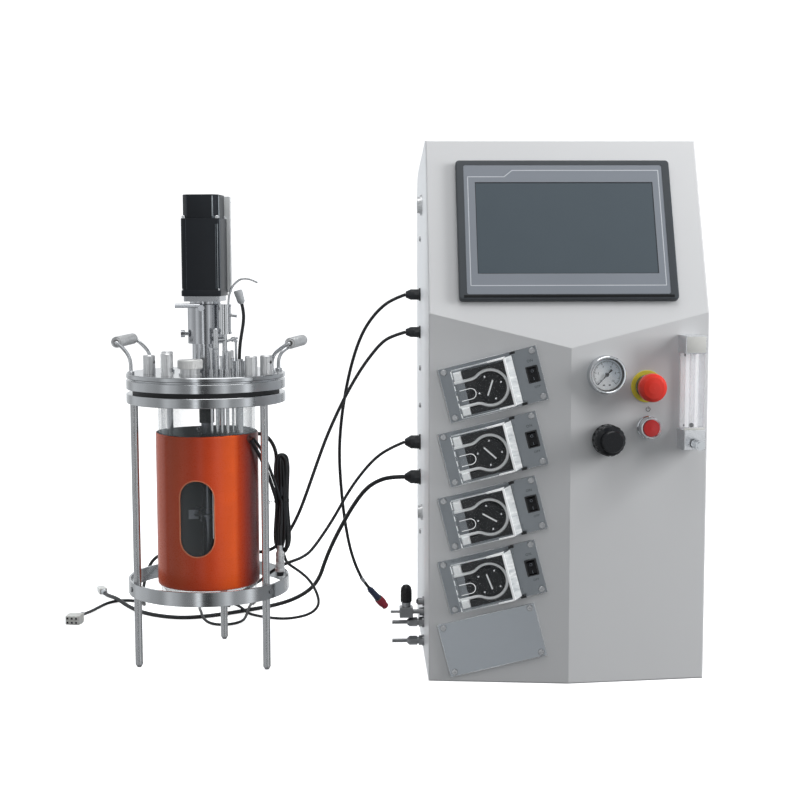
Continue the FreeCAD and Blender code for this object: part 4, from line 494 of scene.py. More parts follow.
class Build:
    def __init__(self, name):
        self.name, self.bm, self.keys = name, bmesh.new(), []

    def key(self, k):
        if k not in self.keys:
            self.keys.append(k)
        return self.keys.index(k)

    def put(self, local, verts, faces, k):
        m = TO_ROW @ local
        vs = [self.bm.verts.new(m @ Vector(v)) for v in verts]
        i = self.key(k)
        for f in faces:
            try:
                face = self.bm.faces.new([vs[j] for j in f])
                face.material_index = i
            except ValueError:
                pass

    def lathe(self, local, prof, k, n=64, closed=False):
        """(r, z) outline turned about local z."""
        verts, rows = [], []
        for r, z in prof:
            if r < 1e-6:
                rows.append([len(verts)])
                verts.append((0, 0, z))
            else:
                rows.append(list(range(len(verts), len(verts) + n)))
                verts += [(r * math.cos(2 * math.pi * j / n), r * math.sin(2 * math.pi * j / n), z) for j in range(n)]
        faces = []
        pairs = list(zip(rows[:-1], rows[1:])) + ([(rows[-1], rows[0])] if closed else [])
        for a, b in pairs:
            for j in range(n):
                j2 = (j + 1) % n
                if len(a) == 1 and len(b) == 1:
                    continue
                if len(a) == 1:
                    faces.append((a[0], b[j2], b[j]))
                elif len(b) == 1:
                    faces.append((a[j], a[j2], b[0]))
                else:
                    faces.append((a[j], a[j2], b[j2], b[j]))
        self.put(local, verts, faces, k)

    def prism(self, local, pts, z0, z1, k, bevel=0.0, seg=3):
        """Outline in local x, y, raised from z0 to z1, with softened edges."""
        t = bmesh.new()
        base = [t.verts.new((x, y, z0)) for x, y in pts]
        f = t.faces.new(base)
        r = bmesh.ops.extrude_face_region(t, geom=[f])
        for g in r["geom"]:
            if isinstance(g, bmesh.types.BMVert):
                g.co.z = z1
        bmesh.ops.recalc_face_normals(t, faces=t.faces[:])
        if bevel > 0:
            bmesh.ops.bevel(t, geom=t.edges[:], offset=bevel, offset_type="OFFSET", segments=seg, profile=0.5, affect="EDGES", clamp_overlap=True)
        self.take(local, t, k)

    def take(self, local, t, k):
        t.verts.index_update()
        verts = [tuple(v.co) for v in t.verts]
        faces = [[v.index for v in f.verts] for f in t.faces]
        t.free()
        self.put(local, verts, faces, k)

    def box(self, local, x0, x1, y0, y1, z0, z1, k, bevel=0.3, seg=3):
        self.prism(local, [(x0, y0), (x1, y0), (x1, y1), (x0, y1)], z0, z1, k, min(bevel, 0.45 * min(x1 - x0, y1 - y0, z1 - z0)), seg)

    def rbox(self, local, w, h, r, z0, z1, k, bevel=0.2, cx=0.0, cy=0.0, n=6):
        pts = []
        for sx, sy, a0 in ((1, -1, -90), (1, 1, 0), (-1, 1, 90), (-1, -1, 180)):
            for j in range(n + 1):
                a = rad(a0 + 90 * j / n)
                pts.append((cx + sx * (w / 2 - r) + r * math.cos(a), cy + sy * (h / 2 - r) + r * math.sin(a)))
        self.prism(local, pts, z0, z1, k, bevel, 2)

    def sweep(self, local, pts, r, k, n=12, closed=False):
        """Round bar along points; r is one radius or one for each point."""
        P = [Vector(p) for p in pts]
        rr = r if isinstance(r, (list, tuple)) else [r] * len(P)
        verts, rows, ref = [], [], None
        for i, p in enumerate(P):
            if closed:
                d = (P[(i + 1) % len(P)] - P[i - 1]).normalized()
            else:
                d = (P[min(i + 1, len(P) - 1)] - P[max(i - 1, 0)]).normalized()
            if ref is None:
                ref = Vector((0, 0, 1)) if abs(d.z) < 0.9 else Vector((1, 0, 0))
            u = (ref - d * ref.dot(d)).normalized()
            w = d.cross(u)
            ref = u
            rows.append(list(range(len(verts), len(verts) + n)))
            verts += [tuple(p + (u * math.cos(2 * math.pi * j / n) + w * math.sin(2 * math.pi * j / n)) * rr[i]) for j in range(n)]
        faces = []
        for a, b in list(zip(rows[:-1], rows[1:])) + ([(rows[-1], rows[0])] if closed else []):
            for j in range(n):
                faces.append((a[j], a[(j + 1) % n], b[(j + 1) % n], b[j]))
        if not closed:
            faces += [tuple(reversed(rows[0])), tuple(rows[-1])]
        self.put(local, verts, faces, k)

    def sphere(self, local, r, k, n=24):
        prof = [(r * math.sin(math.pi * i / 12), -r * math.cos(math.pi * i / 12)) for i in range(13)]
        prof[0], prof[-1] = (0, -r), (0, r)
        self.lathe(local, prof, k, n)

    def text(self, local, body, size, k, raised=0.06, spacing=1.0):
        """Printed characters, centred on the local origin."""
        cu = bpy.data.curves.new("glyphs", "FONT")
        cu.body, cu.size, cu.extrude = body, size, raised
        cu.align_x, cu.align_y = "CENTER", "CENTER"
        cu.space_character = spacing
        cu.resolution_u = 3
        ob = bpy.data.objects.new("glyphs", cu)
        me = bpy.data.meshes.new_from_object(ob)
        t = bmesh.new()
        t.from_mesh(me)
        self.take(local, t, k)
        bpy.data.objects.remove(ob)
        bpy.data.curves.remove(cu)
        bpy.data.meshes.remove(me)

    def done(self, body, slot, replaces=(), sharp=32.0):
        bmesh.ops.remove_doubles(self.bm, verts=self.bm.verts[:], dist=1e-6)
        bmesh.ops.recalc_face_normals(self.bm, faces=self.bm.faces[:])
        me = bpy.data.meshes.new(self.name)
        self.bm.to_mesh(me)
        self.bm.free()
        for k in self.keys:
            me.materials.append(M[k])
        me.shade_smooth()
        me.set_sharp_from_angle(angle=rad(sharp))
        ob = bpy.data.objects.new(self.name, me)
        bpy.context.scene.collection.objects.link(ob)
        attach(ob, body)
        if replaces:
            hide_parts(*replaces)
        return ob


# ---------------------------------------------------------------------------
# touchscreen front: printed film with a window, the screen a little below it
# ---------------------------------------------------------------------------
b = Build("screen_film")
X0, X1, Y0, Y1 = -113.0, 114.0, -61.5, 65.0
for x0, x1, y0, y1 in ((-127, 127, -89, Y0), (-127, 127, Y1, 89), (-127, X0, Y0, Y1), (X1, 127, Y0, Y1)):
    b.box(FS, x0, x1, y0, y1, 5.0, 6.65, "overlay", 0.0)
b.box(FS, X0, X1, Y0, Y1, 5.0, 6.15, "screen", 0.0)
# dark strips round the window: painted shade in the recess, widest along the top
for x0, x1, y0, y1 in ((X0, X1, Y0, Y0 + 0.9), (X0, X1, Y1 - 1.4, Y1), (X0, X0 + 0.9, Y0, Y1), (X1 - 0.9, X1, Y0, Y1)):
    b.box(FS, x0, x1, y0, y1, 6.1, 6.3, "screen_recess_shade", 0.0)


def strip(b, local, pts, w, z0, z1, k, closed=True):
    """Flat printed line of width w through points of local x, y."""
    n = len(pts)
    rng = range(n if closed else n - 1)
    for i in rng:
        (x0, y0), (x1, y1) = pts[i], pts[(i + 1) % n]
        l = math.hypot(x1 - x0, y1 - y0)
        ux, uy = (x1 - x0) / l * w / 2, (y1 - y0) / l * w / 2
        q = [(x0 - ux + uy, y0 - uy - ux), (x1 + ux + uy, y1 + uy - ux), (x1 + ux - uy, y1 + uy + ux), (x0 - ux - uy, y0 - uy + ux)]
        b.prism(local, q, z0, z1, k)


strip(b, FS, [(-122, -77.5), (-122, 72.5), (-75.4, 72.5), (-65, 81.5), (122, 81.5), (122, -77.5)], 1.1, 6.6, 6.72, "line")
b.done(ROOT, "screen_glass", ["panel_glass"], 20)

# a gloss black strip along the frame's lower edge: a painted shadow under the frame
b = Build("screen_frame_shadow")
for x0, x1, y0, y1 in ((-131.0, 131.0, -93.9, -90.2), ):
    b.box(FS, x0, x1, y0, y1, 7.0, 7.25, "gloss_black", 0.1)
b.done(ROOT, "screen_frame")

# gauge: lens, dial with ticks and numbers
G = FR @ up_z(43.6, 390.2)
b = Build("gauge_lens")
b.lathe(G, [(0, 11.3), (12.0, 11.15), (18.0, 10.8), (20.3, 10.4), (20.3, 9.9), (0, 9.9)], "lens", 72)
b.done(ROOT, "screen_glass", ["panel_glass"])
b = Build("gauge_dial_painted_sheen")
b.lathe(G, [(0, 5.45), (19.2, 5.45), (19.2, 5.02)], "dial_painted_sheen", 72)
b.lathe(G, [(19.2, 5.4), (19.7, 5.6), (20.3, 6.8), (20.45, 9.0), (20.45, 5.02)], "dark_chrome", 72)
for k_ in range(51):
    a = rad(225 - 270 * k_ / 50)
    big = k_ % 5 == 0
    r0, r1, w = (13.4, 16.8, 0.62) if k_ % 10 == 0 else ((14.2, 16.8, 0.44) if big else (15.0, 16.8, 0.24))
    T = G @ Matrix.Rotation(a, 4, "Z")
    b.box(T, r0, r1, -w / 2, w / 2, 5.4, 5.52, "print", 0.0)
for k_ in range(6):
    a = rad(225 - 54 * k_)
    b.text(G @ up_z(11.0 * math.cos(a), 11.0 * math.sin(a), 5.45), str(2 * k_), 3.7, "print", 0.05)
pts = [(16.9 * math.cos(rad(225 - 270 * j / 48)), 16.9 * math.sin(rad(225 - 270 * j / 48)), 5.44) for j in range(49)]
b.sweep(G, pts, 0.2, "print", 6)
for x in (-3.6, 3.6):
    b.rbox(G, 2.8, 1.5, 0.5, 5.4, 5.53, "print", 0.0, x, -12.9)
b.lathe(G @ up_z(0, 0, 0), [(3.0, 5.4), (3.0, 6.0), (2.6, 6.15), (0.9, 6.15)], "chrome", 32)
b.done(ROOT, "gauge_chrome")
b = Build("gauge_rim")
b.lathe(G, [(20.62, 9.2), (20.7, 11.4), (21.4, 11.95), (22.5, 11.9), (23.3, 11.0), (23.55, 9.4), (23.55, 1.2), (23.9, 0.6), (23.9, 0.02), (23.42, 0.02)], "chrome", 96)
b.done(ROOT, "gauge_chrome")

# emergency stop: yellow disc, collar and chrome step; power button ring
E = FR @ up_z(96.0, 374.8)
b = Build("stop_disc")
b.lathe(E, [(11.0, 0.02), (19.4, 0.02), (20.0, 0.4), (20.0, 1.0), (19.5, 1.4), (14.6, 1.4), (14.6, 1.1), (11.0, 1.1)], "yellow", 96)
b.lathe(E, [(14.5, 1.2), (14.5, 3.4), (14.0, 3.8), (14.0, 10.6), (14.3, 11.0), (14.3, 12.2), (13.4, 13.4), (11.2, 13.9), (10.62, 13.9), (10.62, 1.2)], "dark_chrome", 96)
b.lathe(E, [(10.62, -6.0), (11.0, -6.0), (11.0, 1.15), (10.62, 1.15)], "dark_chrome", 64, True)
b.done(ROOT, "button_rings", ["button_bases"])
b = Build("power_ring")
Pw = FR @ up_z(98.5, 323.7)
b.lathe(Pw, [(10.92, -6.0), (11.0, -6.0), (11.0, 0.02), (14.2, 0.02), (14.2, 2.3), (13.5, 2.8), (13.3, 4.0), (13.3, 14.8), (13.0, 15.7), (12.4, 16.1), (11.9, 16.1), (11.5, 15.6), (11.45, 14.2), (10.92, 14.2)],
        "chrome", 96, True)
b.done(ROOT, "button_rings", ["button_bases"])
b = Build("standby_mark")
S = FR @ up_z(98.5, 346.0)
arc = [(2.6 * math.cos(rad(90 + 38 + 284 * j / 30)), 2.6 * math.sin(rad(90 + 38 + 284 * j / 30)), 0.06) for j in range(31)]
b.sweep(S, arc, 0.34, "print", 8)
b.sweep(S, [(0, 0.2, 0.06), (0, 3.6, 0.06)], 0.34, "print", 8)
b.done(ROOT, "button_rings")

# flow meter: white backing in the clear body, with a painted glow, scale marks, edge studs, blank name panel
MU = 149.5
b = Build("flow_scale")
b.box(FR, MU - 11.2, MU + 11.2, 323.0, 415.6, 2.3, 5.0, "backing_glow", 0.3)
for k_ in range(21):
    z = 338 + 3.4 * k_
    w = 2.6 if k_ % 5 == 0 else 1.5
    b.box(FR, MU + 5.2, MU + 5.2 + w, z - 0.12, z + 0.12, 26.0, 26.06, "faint", 0.0)
for k_ in range(5):
    b.text(FR @ up_z(MU + 9.4, 338 + 17 * k_, 26.03), str(k_), 2.3, "faint", 0.03)
for z in (328.0, 414.8):
    b.sweep(FR, [(MU - 13.4, z, 24.0), (MU - 12.4, z, 24.0)], 1.3, "print", 16)
b.box(FR, MU - 12.9, MU + 12.9, 322.1, 325.0, 25.6, 26.3, "white", 0.2)
b.box(FR, MU - 12.2, MU + 12.2, 417.6, 437.4, 28.9, 29.25, "white", 0.15)
b.done(ROOT, "flow_acrylic")

# ---------------------------------------------------------------------------
# pumps: painted highlights along the clear covers' edges and on the rotor bars, rocker symbols, ON and OFF
# ---------------------------------------------------------------------------
CY0, CY1 = -30.8, 30.8
PHASE = (59.0, -55.0, -42.0, -82.0)
for i in range(4):
    L = plate_frame(i)
    n = str(i + 1)
    # painted highlights along the cover's edges, as white strips
    b = Build("cover_highlights_" + n)
    b.box(L, 19.6, 22.6, CY0 + 0.5, CY1 - 0.5, 23.2, 24.3, "highlight_white", 0.35)
    side = L @ Matrix(((8.4 / 18.07, 0, 16.0 / 18.07, 22.0), (0, 1, 0, 0), (-16.0 / 18.07, 0, 8.4 / 18.07, 24.0), (0, 0, 0, 1)))
    b.box(side, 0.6, 17.6, CY0 + 0.7, CY1 - 0.7, 0.02, 0.16, "highlight_slope", 0.0)
    topf = L @ Matrix(((1, 0, 0, 0), (0, 0, 1, CY1), (0, 1, 0, 0), (0, 0, 0, 1)))
    b.prism(topf, [(-2.0, 24.0), (22.0, 24.0), (22.8, 14.5), (19.0, 16.0), (2.0, 20.6)], -0.05, 0.22, "highlight_white", 0.06)
    b.box(topf, -45.4, 0.0, 22.2, 23.9, -0.05, 0.15, "highlight_soft", 0.05)
    b.box(L, -45.4, 0.0, CY1 - 1.3, CY1 - 0.1, 23.9, 24.15, "highlight_soft", 0.1)
    b.box(L, 0.0, 21.0, CY1 - 1.9, CY1 - 0.1, 23.9, 24.2, "highlight_white", 0.1)
    b.box(L, 1.0, 21.0, CY0 + 0.1, CY0 + 2.2, 23.9, 24.2, "highlight_white", 0.1)
    b.box(L, -45.4, 1.0, CY0 + 0.1, CY0 + 1.0, 23.9, 24.12, "highlight_soft", 0.08)
    for y0, y1 in ((-29.6, -24.0), (-16.0, -11.0), (-7.5, -1.0), (5.0, 11.0), (19.5, 29.4)):
        b.box(L, -46.3, -45.3, y0, y1, 23.8, 24.2, "highlight_white", 0.1)
    b.box(L, -46.62, -46.5, CY0 + 1.0, CY1 - 1.0, 22.6, 23.9, "highlight_soft", 0.0)
    # finger tab outline, a painted highlight
    pts = [(-41.0, -9.0, 25.0), (-36.0, -9.0, 25.0), (-28.5, -9.0, 25.0)]
    pts += [(-28.5 + 6.5 * math.sin(rad(a)), -2.5 - 6.5 * math.cos(rad(a)), 25.0) for a in range(10, 180, 10)]
    pts += [(-28.5, 4.0, 25.0), (-36.0, 4.0, 25.0), (-41.0, 4.0, 25.0)]
    b.sweep(L, pts, 0.42, "highlight_white", 8)
    b.done("pump_cover_%s_body" % n, "clear_cover")

    # the line on each rotor bar is a painted highlight
    b = Build("rotor_highlight_" + n)
    T = L @ up_z(-4.0, -2.0) @ Matrix.Rotation(rad(PHASE[i]), 4, "Z")
    b.rbox(T, 20.5, 1.9, 0.7, 15.55, 15.85, "highlight_white", 0.08)
    for a in (45, 135, 225, 315):
        b.lathe(T @ up_z(15.0 * math.cos(rad(a)), 15.0 * math.sin(rad(a))), [(1.45, 13.62), (1.45, 13.95), (1.0, 14.3), (0.0, 14.35)], "screw", 20)
    b.done("pump_rotor_%s_body" % n, "rotor_plastic")

    b = Build("rocker_marks_" + n)
    b.box(L, 50.2, 50.8, -6.6, -3.0, 5.05, 6.1, "mark_dim", 0.05)
    ring = [(50.5 + 1.5 * math.cos(2 * math.pi * j / 20), 4.9 + 1.5 * math.sin(2 * math.pi * j / 20), 6.45 + 0.17 * (1.5 * math.sin(2 * math.pi * j / 20))) for j in range(20)]
    b.sweep(L, ring, 0.3, "mark_dim", 8, True)
    b.done("pump_rocker_%s_body" % n, "switch_black")

b = Build("plate_print")
for i in range(4):
    L = plate_frame(i)
    b.text(L @ up_z(50.6, 17.4, 2.0), "ON", 4.6, "print", 0.05, 1.15)
    b.text(L @ up_z(52.4, -15.8, 2.0), "OFF", 4.0, "print", 0.05, 1.15)
# bright metal strips round each plate's edge: painted highlights
for i in range(5):
    L = plate_frame(i)
    for x0, x1, y0, y1 in ((-62.4, 62.4, 33.85, 34.4), (-62.4, 62.4, -34.4, -33.85), (-62.6, -62.1, -34.0, 34.0), (62.1, 62.6, -34.0, 34.0)):
        b.box(L, x0, x1, y0, y1, 1.9, 2.12, "plate_edge_highlight", 0.1)
b.done(ROOT, "plate_steel")

# ---------------------------------------------------------------------------
# stirrer motor with its driver plate
# ---------------------------------------------------------------------------
MO = Matrix.Translation((VX, VY, 0)) @ Matrix.Rotation(rad(-6.5), 4, "Z")
b = Build("motor_body")


def octo(h, c):
    return [(h, -h + c), (h, h - c), (h - c, h), (-h + c, h), (-h, h - c), (-h, -h + c), (-h + c, -h), (h - c, -h)]


b.prism(MO, octo(25.9, 2.6), 485.0, 492.8, "motor", 0.8)
b.prism(MO, octo(25.3, 2.3), 492.0, 585.4, "motor", 0.6)
b.prism(MO, octo(23.7, 6.2), 585.0, 616.0, "motor", 0.9)
for sx in (-1, 1):
    for sy in (-1, 1):
        b.lathe(MO @ up_z(sx * 21.7, sy * 21.7), [(2.7, 585.2), (2.7, 588.2), (2.2, 588.9), (1.4, 588.9), (1.4, 587.6), (0, 587.6)], "screw", 24)
        b.lathe(MO @ up_z(sx * 22.3, sy * 22.3), [(2.9, 492.4), (2.9, 494.8), (2.3, 495.6), (0, 495.6)], "screw", 24)
# light strips beside the front corners: painted highlights of the extruded edges
b.box(MO, 20.2, 20.75, -25.52, -25.1, 494.5, 578.0, "motor_highlight_dim", 0.1)
b.box(MO, 22.6, 23.2, -25.52, -25.1, 494.5, 578.0, "motor_highlight", 0.1)
b.sweep(MO, [(25.2, -23.2, 494.5), (25.2, -23.2, 584.6)], 0.28, "motor_highlight_dim", 8)
b.box(MO, 15.6, 17.3, -23.95, -23.55, 587.2, 614.2, "motor_highlight", 0.15)
b.box(MO, 15.6, 20.6, -23.95, -23.3, 585.6, 588.4, "motor_highlight_dim", 0.15)
b.sweep(MO, [(23.55, -17.8, 580.0), (23.6, -17.8, 614.6)], 0.55, "motor_highlight", 8)
b.box(MO, 24.95, 25.5, -18.6, -18.0, 494.5, 584.6, "motor_highlight_dim", 0.1)
# faint light lines at the left corners: painted highlights
b.box(MO, -18.6, -18.1, -25.48, -25.1, 494.0, 584.6, "motor_highlight_faint", 0.1)
b.box(MO, -17.2, -16.8, -23.9, -23.5, 587.0, 614.0, "motor_highlight_faint", 0.1)
b.done(ROOT, "motor_paint", ["stirrer_motor"])
b = Build("motor_driver")
b.prism(MO, [(-19.4, 26.1), (29.1, 26.1), (29.8, 26.8), (29.8, 31.0), (29.1, 31.7), (-19.4, 31.7), (-20.0, 31.0), (-20.0, 26.8)], 489.2, 615.0, "driver", 0.5)
for z in (497.0, 550.0, 607.0):
    b.sweep(MO, [(28.0, 28.9, z), (29.95, 28.9, z)], 1.5, "screw", 16)
b.done(ROOT, "motor_paint", ["stirrer_motor"])

# black sleeve and clamp screw on the shaft, under the plates
b = Build("shaft_sleeve")
S = up_z(VX, VY)
b.lathe(S, [(9.62, 318.0), (9.9, 318.4), (9.9, 345.0), (9.62, 345.4)], "rubber", 48)
b.lathe(S, [(7.65, 297.0), (8.1, 297.4), (8.1, 303.0), (7.65, 303.4)], "housing", 48)
b.lathe(along((VX - 9.0, VY - 0.6, 309.0), (-1, -0.08, 0)), [(2.3, 0.0), (3.4, 0.4), (3.4, 3.6), (2.9, 4.2), (1.5, 4.2), (1.5, 3.0), (0, 3.0)], "housing", 24)
b.done("stirrer_body", "stainless")

# ---------------------------------------------------------------------------
# lifting handles: bent rods and ribbed grips with stepped ends
# ---------------------------------------------------------------------------
HEAD_Z = 385.1


def handle(name, b0, b1, g0, g1, z):
    def P(p, zz):
        return (VX + p[0], VY + p[1], zz)

    def mid(p, q, t):
        return (p[0] + (q[0] - p[0]) * t, p[1] + (q[1] - p[1]) * t)
    pts = [P(b0, HEAD_Z), P(b0, HEAD_Z + 8), P(b0, HEAD_Z + 15), P(mid(b0, g0, 0.14), HEAD_Z + 25), P(mid(b0, g0, 0.6), z - 5.5), P(mid(b0, g0, 0.93), z - 0.4), P(mid(g0, g1, 0.04), z),
           P(mid(g0, g1, 0.5), z), P(mid(g0, g1, 0.96), z), P(mid(b1, g1, 0.93), z - 0.4), P(mid(b1, g1, 0.6), z - 5.5), P(mid(b1, g1, 0.14), HEAD_Z + 25), P(b1, HEAD_Z + 15),
           P(b1, HEAD_Z + 8), P(b1, HEAD_Z)]
    rod = curve(name + "_rod", pts, 5.0, "stainless", sides=6)
    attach(rod, ROOT)
    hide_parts("lifting_handles")
    b = Build(name + "_grip")
    a, c = Vector(P(mid(g0, g1, 0.04), z)), Vector(P(mid(g0, g1, 0.96), z))
    ln = (c - a).length
    Lg = along(a, c - a)
    prof = [(3.0, 0.6), (4.2, 0.15), (5.2, 0.9), (6.2, 0.2), (6.9, 0.5)]
    ribs = 26
    for j in range(ribs):
        z0 = 0.9 + (ln - 1.8) * j / ribs
        dz = (ln - 1.8) / ribs
        prof += [(6.75, z0), (7.3, z0 + 0.22 * dz), (7.45, z0 + 0.5 * dz), (7.3, z0 + 0.78 * dz)]
    prof += [(6.75, ln - 0.9), (6.9, ln - 0.5), (6.2, ln - 0.2), (5.2, ln - 0.9), (4.2, ln - 0.15), (3.0, ln - 0.6)]
    b.lathe(Lg, prof, "grip", 40)
    b.lathe(Lg, [(2.55, -0.1), (3.3, 0.3), (3.3, 1.4)], "dark_chrome", 24)
    for q in (b0, b1):
        b.lathe(up_z(VX + q[0], VY + q[1]), [(2.5, HEAD_Z + 3.4), (4.3, HEAD_Z + 3.4), (4.7, HEAD_Z + 2.8), (4.7, HEAD_Z + 0.02)], "stainless", 32)
    b.done(ROOT, "handle_mix", ["lifting_handles"])


handle("handle_left", (-94.0, -30.0), (-80.0, 52.0), (-112.0, -36.0), (-103.0, 56.0), 426.5)
handle("handle_right", (87.5, -18.0), (94.0, 22.0), (111.6, -40.0), (126.0, 42.0), 424.5)

# ---------------------------------------------------------------------------
# heating jacket: a wrapped sleeve with a long window, beaded edge and laced back
# ---------------------------------------------------------------------------
JR0, JR1, JZ0, JZ1 = 63.72, 67.2, 106.0, 306.9
WA, WR, WZ0, WZ1 = -7.1, 22.8, 150.5, 250.1


def window_half(z):
    """Half of the window's width at height z."""
    if z < WZ0 or z > WZ1:
        return 0.0
    if z < WZ0 + WR:
        return math.sqrt(max(0.0, WR * WR - (WZ0 + WR - z) ** 2))
    if z > WZ1 - WR:
        return math.sqrt(max(0.0, WR * WR - (z - WZ1 + WR) ** 2))
    return WR


def jacket():
    b = Build("jacket_sleeve")
    zs = [JZ0, JZ0 + 0.5, JZ0 + 1.5] + [JZ0 + 4 + (WZ0 - JZ0 - 5) * j / 10 for j in range(11)]
    zs += [WZ0 + WR - WR * math.cos(math.pi / 2 * j / 14) for j in range(15)]
    zs += [WZ0 + WR + (WZ1 - WZ0 - 2 * WR) * j / 12 for j in range(1, 12)]
    zs += [WZ1 - WR + WR * math.sin(math.pi / 2 * j / 14) for j in range(15)]
    zs += [WZ1 + 1.0 + (JZ1 - WZ1 - 4) * j / 12 for j in range(13)] + [JZ1 - 1.4, JZ1 - 0.5, JZ1]
    zs = sorted(set(round(z, 4) for z in zs))
    N = 120

    def ring(r, z, end=0.0):
        h = window_half(z)
        a0 = math.asin(min(1.0, h / JR1))
        out = []
        for j in range(N + 1):
            a = WA + math.degrees(a0 + (2 * math.pi - 2 * a0) * j / N)
            lap = 0.35 * math.sin(rad(z * 2.1 + 40)) * math.exp(-((z - JZ1) / 14) ** 2)     # top edge not quite even
            out.append((VX + (r + lap * 0.5) * math.sin(rad(a)), VY - (r + lap * 0.5) * math.cos(rad(a)), z + (lap + 0.5 * math.sin(rad(a * 3)) if z > JZ1 - 8 else 0.0) * (1 if z > JZ1 - 3 else 0.3)))
        return out
    verts, outer, innr = [], [], []
    for zi, z in enumerate(zs):
        e = min(z - JZ0, JZ1 - z)
        soft = 0.9 * (1 - min(1.0, e / 1.5)) ** 2
        outer.append(range(len(verts), len(verts) + N + 1))
        verts += ring(JR1 - soft, z)
        innr.append(range(len(verts), len(verts) + N + 1))
        verts += ring(JR0 + soft * 0.4, z)
    fo, fi = [], []
    for a, c, a2, c2 in zip(outer[:-1], outer[1:], innr[:-1], innr[1:]):
        for j in range(N):
            fo.append((a[j], a[j + 1], c[j + 1], c[j]))
            fi.append((a2[j + 1], a2[j], c2[j], c2[j + 1]))
    b.put(IDENT, verts, fo + [(outer[0][j + 1], outer[0][j], innr[0][j], innr[0][j + 1]) for j in range(N)], "jacket")
    rim = [(outer[-1][j], outer[-1][j + 1], innr[-1][j + 1], innr[-1][j]) for j in range(N)]
    walls = []
    for i in range(len(zs) - 1):
        if window_half(zs[i]) > 0 or window_half(zs[i + 1]) > 0:
            walls.append((outer[i][0], outer[i + 1][0], innr[i + 1][0], innr[i][0]))
            walls.append((outer[i + 1][N], outer[i][N], innr[i][N], innr[i + 1][N]))
    b.put(IDENT, verts, fi + rim + walls, "jacket_inner")
    for v in [v for v in b.bm.verts if not v.link_faces]:
        b.bm.verts.remove(v)
    # bead round the window
    pts = []
    m = 20
    for j in range(m):
        z = WZ0 + WR + (WZ1 - WZ0 - 2 * WR) * j / m
        pts.append((WR, z))
    for j in range(m):
        t = math.pi * j / m
        pts.append((WR * math.cos(t), WZ1 - WR + WR * math.sin(t)))
    for j in range(m):
        z = WZ1 - WR - (WZ1 - WZ0 - 2 * WR) * j / m
        pts.append((-WR, z))
    for j in range(m):
        t = math.pi * j / m
        pts.append((-WR * math.cos(t), WZ0 + WR - WR * math.sin(t)))
    line = []
    for x, z in pts:
        a = rad(WA) + math.asin(x / JR1)
        line.append((VX + (JR1 - 0.2) * math.sin(a), VY - (JR1 - 0.2) * math.cos(a), z))
    b.sweep(IDENT, line, 0.85, "bead", 10, True)
    # back seam with its lacing straps and buckles
    for s in (-1, 1):
        line = [(VX + s * 1.6, VY + JR1 - 0.1, JZ0 + 1 + (JZ1 - JZ0 - 2) * j / 20) for j in range(21)]
        b.sweep(IDENT, line, 0.8, "jacket_dark", 8)
    for z in (150.0, 206.0, 262.0):
        for y0, w, h, k in ((JR1 - 0.3, 34.0, 12.0, "strap"), ):
            arcp = []
            for j in range(17):
                a = rad(180 - 14 + 28 * j / 16)
                arcp.append(a)
            vs, fs = [], []
            for a in arcp:
                for r, zz in ((JR1 + 0.05, z - h / 2), (JR1 + 1.3, z - h / 2 + 0.5), (JR1 + 1.3, z + h / 2 - 0.5), (JR1 + 0.05, z + h / 2)):
                    vs.append((VX + r * math.sin(a), VY - r * math.cos(a), zz))
            for j in range(16):
                for q in range(3):
                    fs.append((4 * j + q, 4 * j + q + 1, 4 * j + q + 5, 4 * j + q + 4))
            fs += [(0, 1, 2, 3), (67, 66, 65, 64)]
            b.put(IDENT, vs, fs, k)
        loop = [(VX + x, VY + JR1 + 2.2, z + y) for x, y in ((-6, -6.4), (6, -6.4), (7, -5.4), (7, 5.4), (6, 6.4), (-6, 6.4), (-7, 5.4), (-7, -5.4))]
        b.sweep(IDENT, loop, 0.9, "screw", 8, True)
        b.sweep(IDENT, [(VX, VY + JR1 + 2.2, z - 6.2), (VX, VY + JR1 + 2.2, z + 6.2)], 0.7, "screw", 8)
    # lead outlets
    for dx, dy, z in ((0.776, 0.6307, 297.0), (0.8666, -0.4985, 300.0)):
        b.lathe(along((VX + 66.8 * dx, VY + 66.8 * dy, z), (dx, dy, 0)), [(5.6, 0), (5.6, 0.9), (4.4, 1.6), (3.6, 3.2), (2.9, 5.0), (1.6, 5.1)], "jacket_dark", 28)
    b.done(ROOT, "jacket_silicone", ["heating_jacket"], 40)


jacket()

